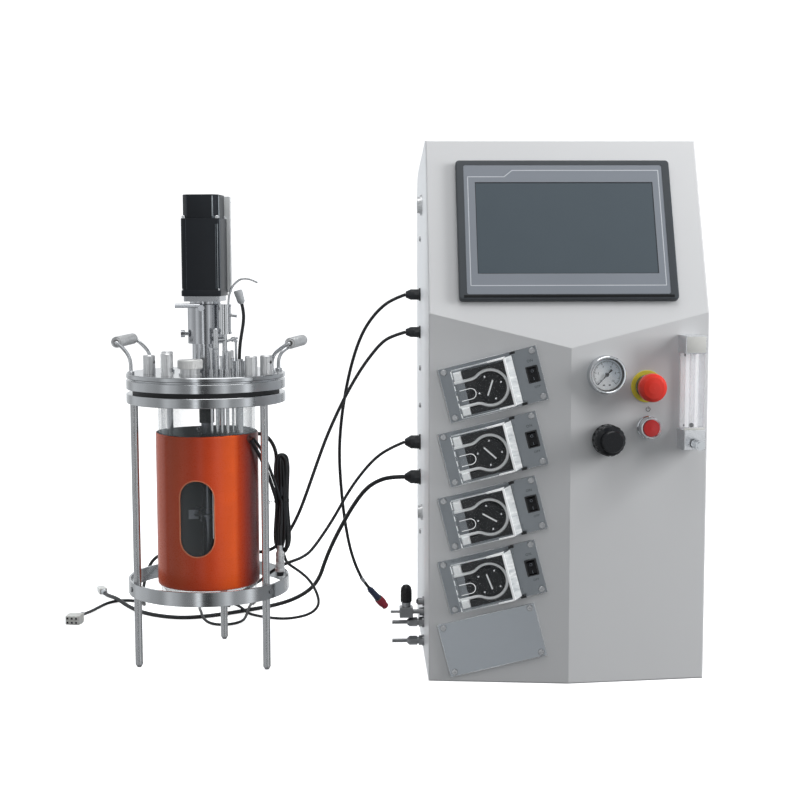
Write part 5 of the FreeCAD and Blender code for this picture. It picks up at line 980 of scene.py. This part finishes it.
# ---------------------------------------------------------------------------
# cords: the points of each route, millimetres
# ---------------------------------------------------------------------------
SENSOR = [(-20.6, 236, 483), (-33, 237, 478.6), (-49.3, 243, 469.6), (-66.1, 249, 452.7), (-81.7, 255, 428.5), (-94.6, 262, 392.7), (-104.8, 270, 349.3),
          (-112.3, 280, 301.5), (-115.7, 291, 252.9), (-113.3, 303, 199.8), (-107.9, 317, 145.4), (-99.4, 331, 97.5), (-86.1, 345, 59.5),
          (-72.7, 356, 38.5), (-59.5, 363, 22)]
SIGNAL = [(-20.6, 236, 430.6), (-35.6, 236, 426.5), (-52.4, 235, 418.2), (-69.3, 232, 398.9), (-86.2, 228, 375.4), (-103.1, 224, 346.4),
          (-117.1, 220, 318.8), (-132.6, 216, 284.3), (-145.3, 212, 249.8), (-158, 208, 213.9), (-169.9, 206, 181.9), (-182.7, 204, 156.9),
          (-195.9, 201, 139.2), (-214, 199, 127.8), (-238.9, 198, 126.8), (-262, 199, 124), (-300, 201, 124), (-335, 207, 124.5), (-360, 215, 123),
          (-376, 226, 114), (-388, 242, 94), (-397, 268, 68), (-404, 302, 44), (-409, 340, 25), (-413, 378, 11), (-417.5, 404, 4.8), (-426, 427, 2.5),
          (-442.5, 441.5, 2.5), (-463.5, 440.5, 2.5), (-478, 425, 2.5), (-486.5, 397, 2.5), (-493, 371, 2.9), (-499, 347, 4.8), (-503, 324, 7.2)]
SUPPLY = [(-22.1, 236, 275.6), (-40.2, 234, 268.7), (-62.9, 230, 255.2), (-85.5, 224, 230.7), (-103.8, 217, 205), (-120.7, 209, 175.3),
          (-138.8, 199, 149), (-154, 182, 131), (-165, 167, 126), (-174, 153, 125), (-187, 146, 122), (-202, 147, 113.5),
          (-214, 154.5, 103.5), (-223, 167, 94), (-231, 184, 86), (-241, 208, 76), (-252, 240, 63), (-260, 290, 46), (-266, 335, 30), (-270, 372, 19),
          (-272.8, 396, 11.5), (-275, 412.6, 7.5), (-283, 425.8, 4.8), (-296.6, 432.6, 3.2), (-312.6, 431.2, 2.7), (-325.8, 422, 2.7),
          (-332, 407.4, 2.7), (-331, 385, 3.2), (-327.5, 358, 7.5), (-323, 333, 10.8), (-318.5, 312, 6.5), (-307.8, 292.6, 3.3), (-292, 283.6, 2.7),
          (-275.9, 285.9, 2.7), (-263.6, 296.2, 2.7), (-257.4, 312, 3), (-255, 331, 6), (-253.5, 352, 10.5), (-252.6, 374, 10.5), (-252, 396, 6),
          (-251.5, 416, 4.2)]
LEAD = [(-22.1, 236, 226), (-40.2, 239, 225.4), (-58.5, 247, 219.8), (-77, 260, 206.1), (-94.3, 276, 180.5), (-110.6, 295, 149.4),
        (-125.7, 318, 116.9), (-138.3, 341, 83.6), (-147.3, 364, 52.7), (-163.3, 386, 28.5), (-191.2, 402.9, 9.6), (-221.3, 394.2, 3.3),
        (-258.9, 366.9, 3.2), (-298.7, 340.6, 3.2), (-340, 324.1, 3.2), (-374.9, 331.4, 3.2), (-412.8, 357.2, 3.2), (-441, 392.5, 5), (-462, 424, 9.6),
        (-477.8, 450.4, 7.4), (-488, 474, 4.4), (-495, 492, 5.2)]
TO_HANK = [(-231.8, 163.8, 297), (-222, 169, 297.5), (-211, 172, 292), (-203, 170.5, 281), (-199, 167.5, 268)]
TAIL = [(-192.3, 156.9, 206), (-192.4, 152.5, 196), (-192.7, 147, 184), (-193.1, 140.5, 170), (-193.5, 134.5, 157), (-193.6, 131.5, 143)]
DIAGONAL = [(-224, 85, 300), (-218.6, 89.3, 293), (-212.5, 97.5, 279.8), (-207, 111, 262.8), (-202, 127, 243.8), (-198.1, 142, 226.8), (-194.5, 158.2, 208.8)]
SECOND = [(-226.6, 80.4, 299), (-223.5, 84.4, 291.2), (-217.7, 97.3, 277.9), (-211.9, 111, 261.1), (-206.6, 127, 242.3), (-202.7, 142, 225.3), (-199.1, 158.2, 207.3)]
TEMP = [(-187.6, 188, 114.3), (-179.4, 197, 106), (-168.9, 212, 95), (-159.9, 232, 81.7),
        (-152.9, 256, 65.3), (-147.4, 282, 44.5), (-146.6, 302, 27.7), (-153.6, 312, 14.8), (-168.7, 318, 5.9), (-196, 315.5, 2.3),
        (-223.2, 325.5, 2.3), (-240, 337.5, 2.3), (-254, 350.5, 2.3), (-266, 362.5, 9.4), (-276, 376, 10.8), (-284, 390, 7.5), (-291, 401, 4.4)]
ELECTRODE = [(-241.3, 89.7, 404.0), (-240.7, 89.7, 420.0), (-237.9, 90.2, 437.0), (-235.3, 90.7, 452.0), (-235.1, 91.2, 465.5), (-237.9, 91.7, 477.5)]

# the tied turns between the jacket and its plug
HX, HY = -192.2, 165.0
HANK = [(0, 129.0), (5.6, 130.4), (10.2, 134.6), (12.4, 142.0), (12.8, 150.0), (12.0, 172.0), (9.4, 202.0), (10.6, 230.0), (11.8, 252.0), (10.6, 263.0), (6.8, 270.4), (0, 273.0)]


def hank_r(z):
    for (r0, z0), (r1, z1) in zip(HANK[:-1], HANK[1:]):
        if z0 <= z <= z1:
            return r0 + (r1 - r0) * (z - z0) / (z1 - z0)
    return 5.0


def strand(a, z0, z1, inset, n=6, drift=0.0):
    out = []
    for j in range(n):
        z = z0 + (z1 - z0) * j / (n - 1)
        r = hank_r(z) - inset
        t = rad(a + drift * math.sin(math.pi * j / (n - 1)))
        out.append((HX + r * math.cos(t), HY + r * math.sin(t), z))
    return out


def fold(a, b, z, r):
    return [(HX + r * math.cos(rad(a)), HY + r * math.sin(rad(a)), z), (HX + r * math.cos(rad(b)), HY + r * math.sin(rad(b)), z)]


BOT, TOP_ = 149.0, 253.0


def low(a, b, z=134.6, r=6.6):
    return fold(a, b, z, r)


def high(a, b, z=267.2, r=6.2):
    return fold(a, b, z, r)


turns = strand(150, TOP_, BOT, 2.7, 6, 8) + low(150, 320) + strand(320, BOT, TOP_ - 2, 2.6, 6, -7) + high(320, 190, 266.0)
turns += strand(190, TOP_ - 4, BOT + 2, 3.0, 6, 9) + low(190, 2, 137.5, 6.2) + strand(2, BOT + 1, TOP_ + 1, 2.7, 6, -9) + high(2, 214, 268.2)
turns += strand(232, 255, 216, 2.6, 3)
JACKET_ROUTE = TO_HANK + turns + TAIL
SECOND_ROUTE = SECOND + strand(221, 194, BOT + 3, 2.7, 4, 5) + low(221, 48, 133.6, 6.6) + strand(48, BOT, TOP_, 2.7, 6, 8) + high(48, 252, 264.0, 5.8) + strand(262, 250, 224, 2.9, 3)
inner_turn = strand(258, 195, BOT - 1, 2.2, 4, -5) + low(258, 98, 139.5, 6.2) + strand(98, BOT + 3, TOP_ - 3, 2.4, 6, -9) + high(98, 284, 262.0, 6.0) + strand(288, 246, BOT + 5, 2.2, 6, 7)
inner_turn += [(-192.0, 157.6, 142.5), (-192.0, 165.0, 135.0), (-191.6, 174.0, 131.8), (-190.4, 182.0, 125.0)]
SENSOR_ROUTE = DIAGONAL + inner_turn + TEMP

# ---------------------------------------------------------------------------
# what hangs on the cords
# ---------------------------------------------------------------------------


def ends(pts, flat=False):
    p, q = Vector(pts[-2]), Vector(pts[-1])
    d = q - p
    if flat:
        d.z = 0
    return q, d.normalized()


def plug_done(b, slot="connector_mix"):
    return b.done(ROOT, slot, ["cable_connectors"])


def knurled(b, local, r, z0, z1, k, n=28):
    """Barrel with lengthwise ribs."""
    verts, faces, m = [], [], n * 4
    for z, dr in ((z0, -0.5), (z0 + 0.5, 0.0), (z1 - 0.5, 0.0), (z1, -0.5)):
        for j in range(m):
            a = 2 * math.pi * j / m
            rr = r + dr - (0.28 if j % 4 in (2, 3) else 0.0)
            verts.append((rr * math.cos(a), rr * math.sin(a), z))
    for i in range(3):
        for j in range(m):
            faces.append((i * m + j, i * m + (j + 1) % m, (i + 1) * m + (j + 1) % m, (i + 1) * m + j))
    faces += [tuple(range(m - 1, -1, -1)), tuple(range(3 * m, 4 * m))]
    b.put(local, verts, faces, k)


# sensor: blue boot on the cable, crimson cap
q, d = ends(SENSOR)
b = Build("plug_sensor")
Lp = along(q, d)
b.lathe(Lp, [(2.35, -23.5), (3.4, -22.3), (4.1, -15.0), (4.8, -6.0), (5.3, -0.4), (4.6, 0.3)], "blue", 32)
for z in (-18.5, -15.0, -11.5, -8.0):
    b.lathe(Lp, [(3.9, z - 0.5), (4.75, z), (4.75, z + 0.8), (4.2, z + 1.3)], "blue", 32)
b.lathe(Lp, [(4.6, 0.0), (5.8, 0.4), (5.8, 2.0), (5.2, 2.2)], "dark_chrome", 32)
knurled(b, Lp, 6.5, 2.0, 13.2, "crimson")
b.lathe(Lp, [(5.6, 13.0), (5.9, 13.4), (5.9, 14.6), (5.3, 15.0), (5.3, 20.2), (4.8, 21.0), (3.9, 21.0), (3.9, 17.0), (0, 17.0)], "crimson", 32)
for a in range(0, 360, 72):
    b.lathe(Lp @ up_z(1.5 * math.cos(rad(a)), 1.5 * math.sin(rad(a))), [(0.35, 16.8), (0.35, 19.6), (0, 19.9)], "screw", 8)
P_SENSOR = plug_done(b)
b = Build("band_sensor")
p0, p1 = Vector((-84.4, 346.4, 56.9)), Vector((-79.9, 350.1, 49.9))
b.lathe(along(p0, p1 - p0), [(2.35, -0.2), (2.75, 0.4), (2.75, (p1 - p0).length - 0.4), (2.35, (p1 - p0).length + 0.2)], "plug_grey", 24)
P_BAND = b.done(ROOT, "connector_mix")

# signal: six-way white block
q, d = ends(SIGNAL)
b = Build("plug_signal")
T = Matrix.Translation(q) @ Matrix.Rotation(math.atan2(d.y, d.x), 4, "Z")
b.box(T, 5.0, 25.4, -10.6, 10.6, -6.6, 6.6, "white", 0.9)
b.box(T, 0.6, 7.0, -9.2, 9.2, -5.4, 5.4, "white", 0.8)
b.box(T, 6.0, 19.0, -3.2, 3.2, 6.2, 6.95, "white", 0.3)
for x in (9.5, 12.5, 15.5):
    b.box(T, x, x + 1.2, -10.9, 10.9, -6.85, 6.85, "white", 0.3)
for iy in range(3):
    for iz in range(2):
        cy_, cz_ = -6.6 + 6.6 * iy, -3.1 + 6.2 * iz
        b.box(T, 25.3, 26.9, cy_ - 2.7, cy_ + 2.7, cz_ - 2.6, cz_ + 2.6, "white", 0.4)
        b.box(T, 26.5, 27.0, cy_ - 1.5, cy_ + 1.5, cz_ - 1.5, cz_ + 1.5, "print", 0.1)
        b.box(T, 26.6, 27.0, cy_ - 0.5, cy_ + 0.5, cz_ - 0.5, cz_ + 0.5, "screw", 0.1)
b.lathe(T @ Matrix.Rotation(rad(90), 4, "Y"), [(2.4, -18.0), (3.0, -17.2), (3.4, -10.0), (4.0, -2.0), (4.6, 1.0), (2.4, 1.0)], "plug_grey", 28)
P_SIGNAL = plug_done(b)

# lead: narrow white block
q, d = ends(LEAD)
b = Build("plug_lead")
T = Matrix.Translation(q) @ Matrix.Rotation(math.atan2(d.y, d.x), 4, "Z")
b.box(T, 0.3, 20.0, -6.2, 6.2, -4.5, 4.5, "white", 1.0)
b.box(T, 19.5, 25.8, -5.4, 5.4, -3.9, 3.9, "plug_grey", 0.6)
b.box(T, 4.0, 15.0, -6.45, 6.45, -1.2, 1.2, "white", 0.3)
for y in (-3.0, 0.0, 3.0):
    b.box(T, 25.6, 26.0, y - 1.0, y + 1.0, -1.6, 1.6, "print", 0.1)
b.lathe(T @ Matrix.Rotation(rad(90), 4, "Y"), [(3.1, -13.0), (3.7, -12.2), (4.2, -4.0), (4.4, 0.6), (3.1, 0.6)], "plug_grey", 28)
P_LEAD = plug_done(b)

# supply and temperature: small round line plugs
for nm, pts, rr, ln in (("plug_supply", SUPPLY, 4.1, 24.0), ("plug_temperature", TEMP, 4.2, 17.0)):
    q, d = ends(pts, True)
    b = Build(nm)
    Lp = along(q, d)
    b.lathe(Lp, [(2.1, -9.0), (2.7, -8.2), (3.1, -2.0), (3.2, 0.6), (2.1, 0.6)], "knob", 28)
    b.lathe(Lp, [(2.8, 0.2), (3.9, 2.6), (rr, 3.4), (rr, ln * 0.45), (rr - 0.5, ln * 0.47), (rr - 0.5, ln * 0.53), (rr, ln * 0.55)], "nylon", 32)
    knurled(b, Lp, rr, ln * 0.55, ln - 3.0, "metal", 20)
    b.lathe(Lp, [(rr - 0.5, ln - 3.2), (rr - 0.5, ln - 0.4), (rr - 0.9, ln), (rr - 1.6, ln), (rr - 1.6, ln - 3.0), (0, ln - 3.0)], "metal", 32)
    r_ = plug_done(b)

# jacket plug: upright shell with a knurled ring and a dark end
q, d = ends(TAIL)
b = Build("plug_jacket")
Lp = along(q, (0, 0, -1))
b.lathe(Lp, [(2.55, -7.0), (3.0, -6.4), (3.4, -1.0), (3.7, 0.0), (4.6, 1.2), (5.7, 3.2), (5.7, 8.0), (5.3, 8.3), (5.3, 9.4), (5.7, 9.7), (5.7, 15.0)], "plug_metal", 40)
knurled(b, Lp, 5.8, 15.0, 23.6, "plug_metal", 30)
b.lathe(Lp, [(5.4, 23.5), (6.8, 24.1), (6.9, 24.6), (6.9, 27.9), (6.5, 28.5), (4.6, 28.5)], "plug_metal", 40)
b.lathe(Lp, [(4.7, 28.4), (4.6, 34.0), (4.2, 34.5), (3.3, 34.5), (3.3, 30.0), (0, 30.0)], "print", 32)
for a in range(0, 360, 90):
    b.lathe(Lp @ up_z(1.7 * math.cos(rad(a)), 1.7 * math.sin(rad(a))), [(0.5, 29.8), (0.5, 33.2), (0, 33.6)], "screw", 8)
P_JACKET = plug_done(b)

# electrode plug: pale cone over the end of its lead
b = Build("plug_electrode")
p0, p1 = Vector((-238.0, 91.7, 477.8)), Vector((-242.5, 92.3, 492.8))
Lp = along(p0, p1 - p0)
b.lathe(Lp, [(2.3, -3.0), (3.2, -2.0), (4.7, 0.0), (4.9, 0.6), (5.25, 6.0), (5.0, 6.3), (5.0, 7.2), (5.4, 7.5), (5.85, 14.2), (5.3, 15.4), (3.8, 15.6), (0, 15.6)], "plug_grey", 36)
P_ELECTRODE = plug_done(b)

# wire tie round the hank, with its twisted end
b = Build("hank_tie")
for z, r in ((203.2, 9.7), (205.2, 9.8)):
    b.sweep(IDENT, [(HX + (r + 0.15 * math.sin(3 * t)) * math.cos(t), HY + (r + 0.15 * math.cos(2 * t)) * math.sin(t), z + 0.7 * math.sin(t + 1)) for t in [2 * math.pi * j / 36 for j in range(36)]],
            0.6, "needle", 8, True)
loop = [(HX - 9.3, HY - 3.0, 204.4), (HX - 12.5, HY - 5.5, 205.6), (HX - 16.0, HY - 7.6, 204.0)]
for j in range(1, 24):
    t = 2 * math.pi * j / 24
    loop.append((HX - 20.4 + 4.6 * math.cos(t), HY - 9.0 - 1.4 * math.sin(t) + 0.05 * j, 204.4 + 3.8 * math.sin(t)))
b.sweep(IDENT, loop, 0.45, "needle", 6)
P_TIE = b.done(ROOT, "cable_pvc")

# splice that joins the second lead to the first
b = Build("lead_splice")
q, d = ends(SECOND_ROUTE)
b.lathe(along(q - d * 2.0, d), [(2.55, 0.0), (3.3, 0.5), (3.6, 2.0), (3.6, 12.0), (3.1, 13.4), (0, 14.0)], "nylon", 24)
P_SPLICE = b.done(ROOT, "cable_pvc")


def free_cord(name, nodes, pts, dia, sides=5):
    ob = curve(name, pts, dia, "cable", sides=sides)
    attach(ob, ROOT)
    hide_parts(*nodes)
    return ob


free_cord("cord_sensor", ["sensor_cable"], SENSOR, 4.6)
free_cord("cord_signal", ["signal_cable"], SIGNAL, 4.6)
free_cord("cord_supply", ["supply_cable"], SUPPLY, 4.2)
free_cord("cord_lead", ["lead_cable"], LEAD, 6.0)
free_cord("cord_electrode", ["electrode_lead"], ELECTRODE, 4.4)
free_cord("cord_jacket", ["jacket_lead", "jacket_hank"], JACKET_ROUTE, 5.0)
free_cord("cord_jacket_second", ["jacket_lead", "jacket_hank"], SECOND_ROUTE, 5.0)
free_cord("cord_temperature", ["jacket_lead", "jacket_hank"], SENSOR_ROUTE, 4.0)

# ---------------------------------------------------------------------------
# studio
# ---------------------------------------------------------------------------


def link(ob):
    bpy.context.scene.collection.objects.link(ob)
    return ob


def floor():
    bm = bmesh.new()
    n, w = 24, 9.0
    prof = [(-5.0, 0.0), (2.6, 0.0)]
    for i in range(1, n + 1):
        a = math.pi / 2 * i / n
        prof.append((2.6 + 1.6 * math.sin(a), 1.6 - 1.6 * math.cos(a)))
    prof.append((4.2, 6.0))
    rows = [[bm.verts.new((x, y, z)) for x in (-w, w)] for y, z in prof]
    for a, b in zip(rows[:-1], rows[1:]):
        bm.faces.new((a[0], a[1], b[1], b[0]))
    me = bpy.data.meshes.new("floor")
    bm.to_mesh(me)
    bm.free()
    for p in me.polygons:
        p.use_smooth = True
    ob = link(bpy.data.objects.new("floor", me))
    k = basic("floor_pale", (0.92, 0.925, 0.93, 1), rough=0.7, var=0.008, scale=2, grain=60, bump=0.0, spec=0.2)
    k.bsdf.inputs["Emission Color"].default_value = (1, 1, 1, 1)
    k.bsdf.inputs["Emission Strength"].default_value = FLOOR_GLOW
    me.materials.append(k.m)
    ob.visible_diffuse = False
    ob.visible_glossy = False
    return ob


FLOOR_GLOW = 0.75
floor()


def area(name, loc, target, size, power, color=(1, 1, 1), spread=180):
    d = bpy.data.lights.new(name, "AREA")
    d.shape = "RECTANGLE"
    d.size, d.size_y = size
    d.energy = power
    d.color = color
    d.spread = rad(spread)
    o = link(bpy.data.objects.new(name, d))
    o.location = loc
    o.rotation_mode = "QUATERNION"
    o.rotation_quaternion = (Vector(target) - Vector(loc)).to_track_quat("-Z", "Y")
    return o


area("top_soft", (0.15, -0.45, 2.4), (0.05, 0.0, 0.3), (1.8, 1.3), 16)
area("right_key", (2.4, -0.72, 1.15), (0.1, -0.05, 0.35), (0.6, 1.5), 49)
left_side = area("left_side", (-2.2, 0.7, 0.9), (-0.1, 0.0, 0.35), (1.0, 1.8), 27, (0.9, 0.955, 1.0))
left_side.visible_glossy = False
key = bpy.data.objects["right_key"]
key.visible_glossy = False
vessel_key = area("vessel_key", (0.28, -0.96, 0.40), (-0.29, 0.10, 0.20), (0.25, 0.35), 0.142, spread=22)
vessel_key.visible_glossy = False

# the room: dim behind the camera, with pale screens at the sides and a bright back
world = bpy.data.worlds.new("studio")
bpy.context.scene.world = world
world.use_nodes = True
wt = world.node_tree
bg = wt.nodes["Background"]
tc = wt.nodes.new("ShaderNodeTexCoord")
sx = wt.nodes.new("ShaderNodeSeparateXYZ")
wt.links.new(tc.outputs["Generated"], sx.inputs[0])


def wmath(op, a, b_=None):
    n = wt.nodes.new("ShaderNodeMath")
    n.operation = op
    for i_, v in enumerate((a, b_)):
        if v is None:
            continue
        if isinstance(v, (int, float)):
            n.inputs[i_].default_value = v
        else:
            wt.links.new(v, n.inputs[i_])
    return n.outputs[0]


az = wmath("ARCTAN2", sx.outputs[0], wmath("MULTIPLY", sx.outputs[1], -1.0))
pos = wmath("ADD", wmath("DIVIDE", az, 2 * math.pi), 0.5)
ramp = wt.nodes.new("ShaderNodeValToRGB")
ramp.color_ramp.interpolation = "EASE"
BANDS = [(-180, 0.60), (-125, 0.75), (-104, 0.45), (-92, 0.20), (-82, 0.60), (-72, 0.75), (-63, 0.26), (-46, 0.16), (-34, 0.34), (-24, 0.22), (0, 0.18), (18, 0.20),
         (30, 0.26), (37, 0.80), (45, 0.85), (53, 0.20), (68, 0.14), (84, 0.55), (97, 0.20), (112, 0.50), (130, 0.75), (180, 0.60)]
els = ramp.color_ramp.elements
while len(els) < len(BANDS):
    els.new(0.5)
for e_, (a_, v_) in zip(els, BANDS):
    e_.position = (a_ + 180) / 360
    e_.color = (v_, v_, v_, 1)
wt.links.new(pos, ramp.inputs[0])


shine = wt.nodes.new("ShaderNodeValToRGB")
shine.color_ramp.interpolation = "EASE"
SHINE = [(-180, 1.0), (-159, .90), (-134, .60), (-118, .90), (-98, .80), (-81, .60), (-66, .50), (-52, .95), (-44, .75), (-27, .38), (-18, .40), (-9, 1.7), (-3, .12), (6, .10), (14, .34), (22, .60),
         (32, 1.1), (42, .52), (55, .66), (66, 1.4), (78, .42), (98, .24), (110, .22), (127, .42), (145, .62), (165, .95), (180, 1.0)]
els = shine.color_ramp.elements
while len(els) < len(SHINE):
    els.new(0.5)
for e_, (a_, v_) in zip(els, SHINE):
    e_.position = (a_ + 180) / 360
    e_.color = (v_, v_, v_, 1)
wt.links.new(pos, shine.inputs[0])
lp = wt.nodes.new("ShaderNodeLightPath")


def wrange(v, a, b_, c, d):
    n = wt.nodes.new("ShaderNodeMapRange")
    n.interpolation_type = "SMOOTHSTEP"
    for k_, v_ in zip(("From Min", "From Max", "To Min", "To Max"), (a, b_, c, d)):
        n.inputs[k_].default_value = v_
    wt.links.new(v, n.inputs["Value"])
    return n.outputs["Result"]


low = wrange(sx.outputs[2], -0.45, -0.02, 0.45, 1.0)
low_shine = wrange(sx.outputs[2], -0.65, -0.28, 0.5, 1.0)
top = wrange(sx.outputs[2], 0.55, 0.95, 0.0, 1.0)
glossy = lp.outputs["Is Glossy Ray"]
level = wmath("ADD", wmath("MULTIPLY", wmath("MULTIPLY", shine.outputs["Color"], low_shine), glossy),
              wmath("MULTIPLY", wmath("MULTIPLY", ramp.outputs["Color"], low), wmath("SUBTRACT", 1.0, glossy)))
level = wmath("ADD", wmath("MULTIPLY", level, wmath("SUBTRACT", 1.0, top)), wmath("MULTIPLY", top, 0.5))
seen = lp.outputs["Is Camera Ray"]
level = wmath("ADD", wmath("MULTIPLY", level, wmath("SUBTRACT", 1.0, seen)), seen)
wt.links.new(level, bg.inputs["Strength"])
tone = wt.nodes.new("ShaderNodeMix")
tone.data_type = "RGBA"
tone.inputs[6].default_value = (0.955, 0.98, 1.0, 1)
tone.inputs[7].default_value = (1, 1, 1, 1)
wt.links.new(seen, tone.inputs[0])
wt.links.new(tone.outputs[2], bg.inputs["Color"])
bpy.context.scene.view_settings.view_transform = "Standard"
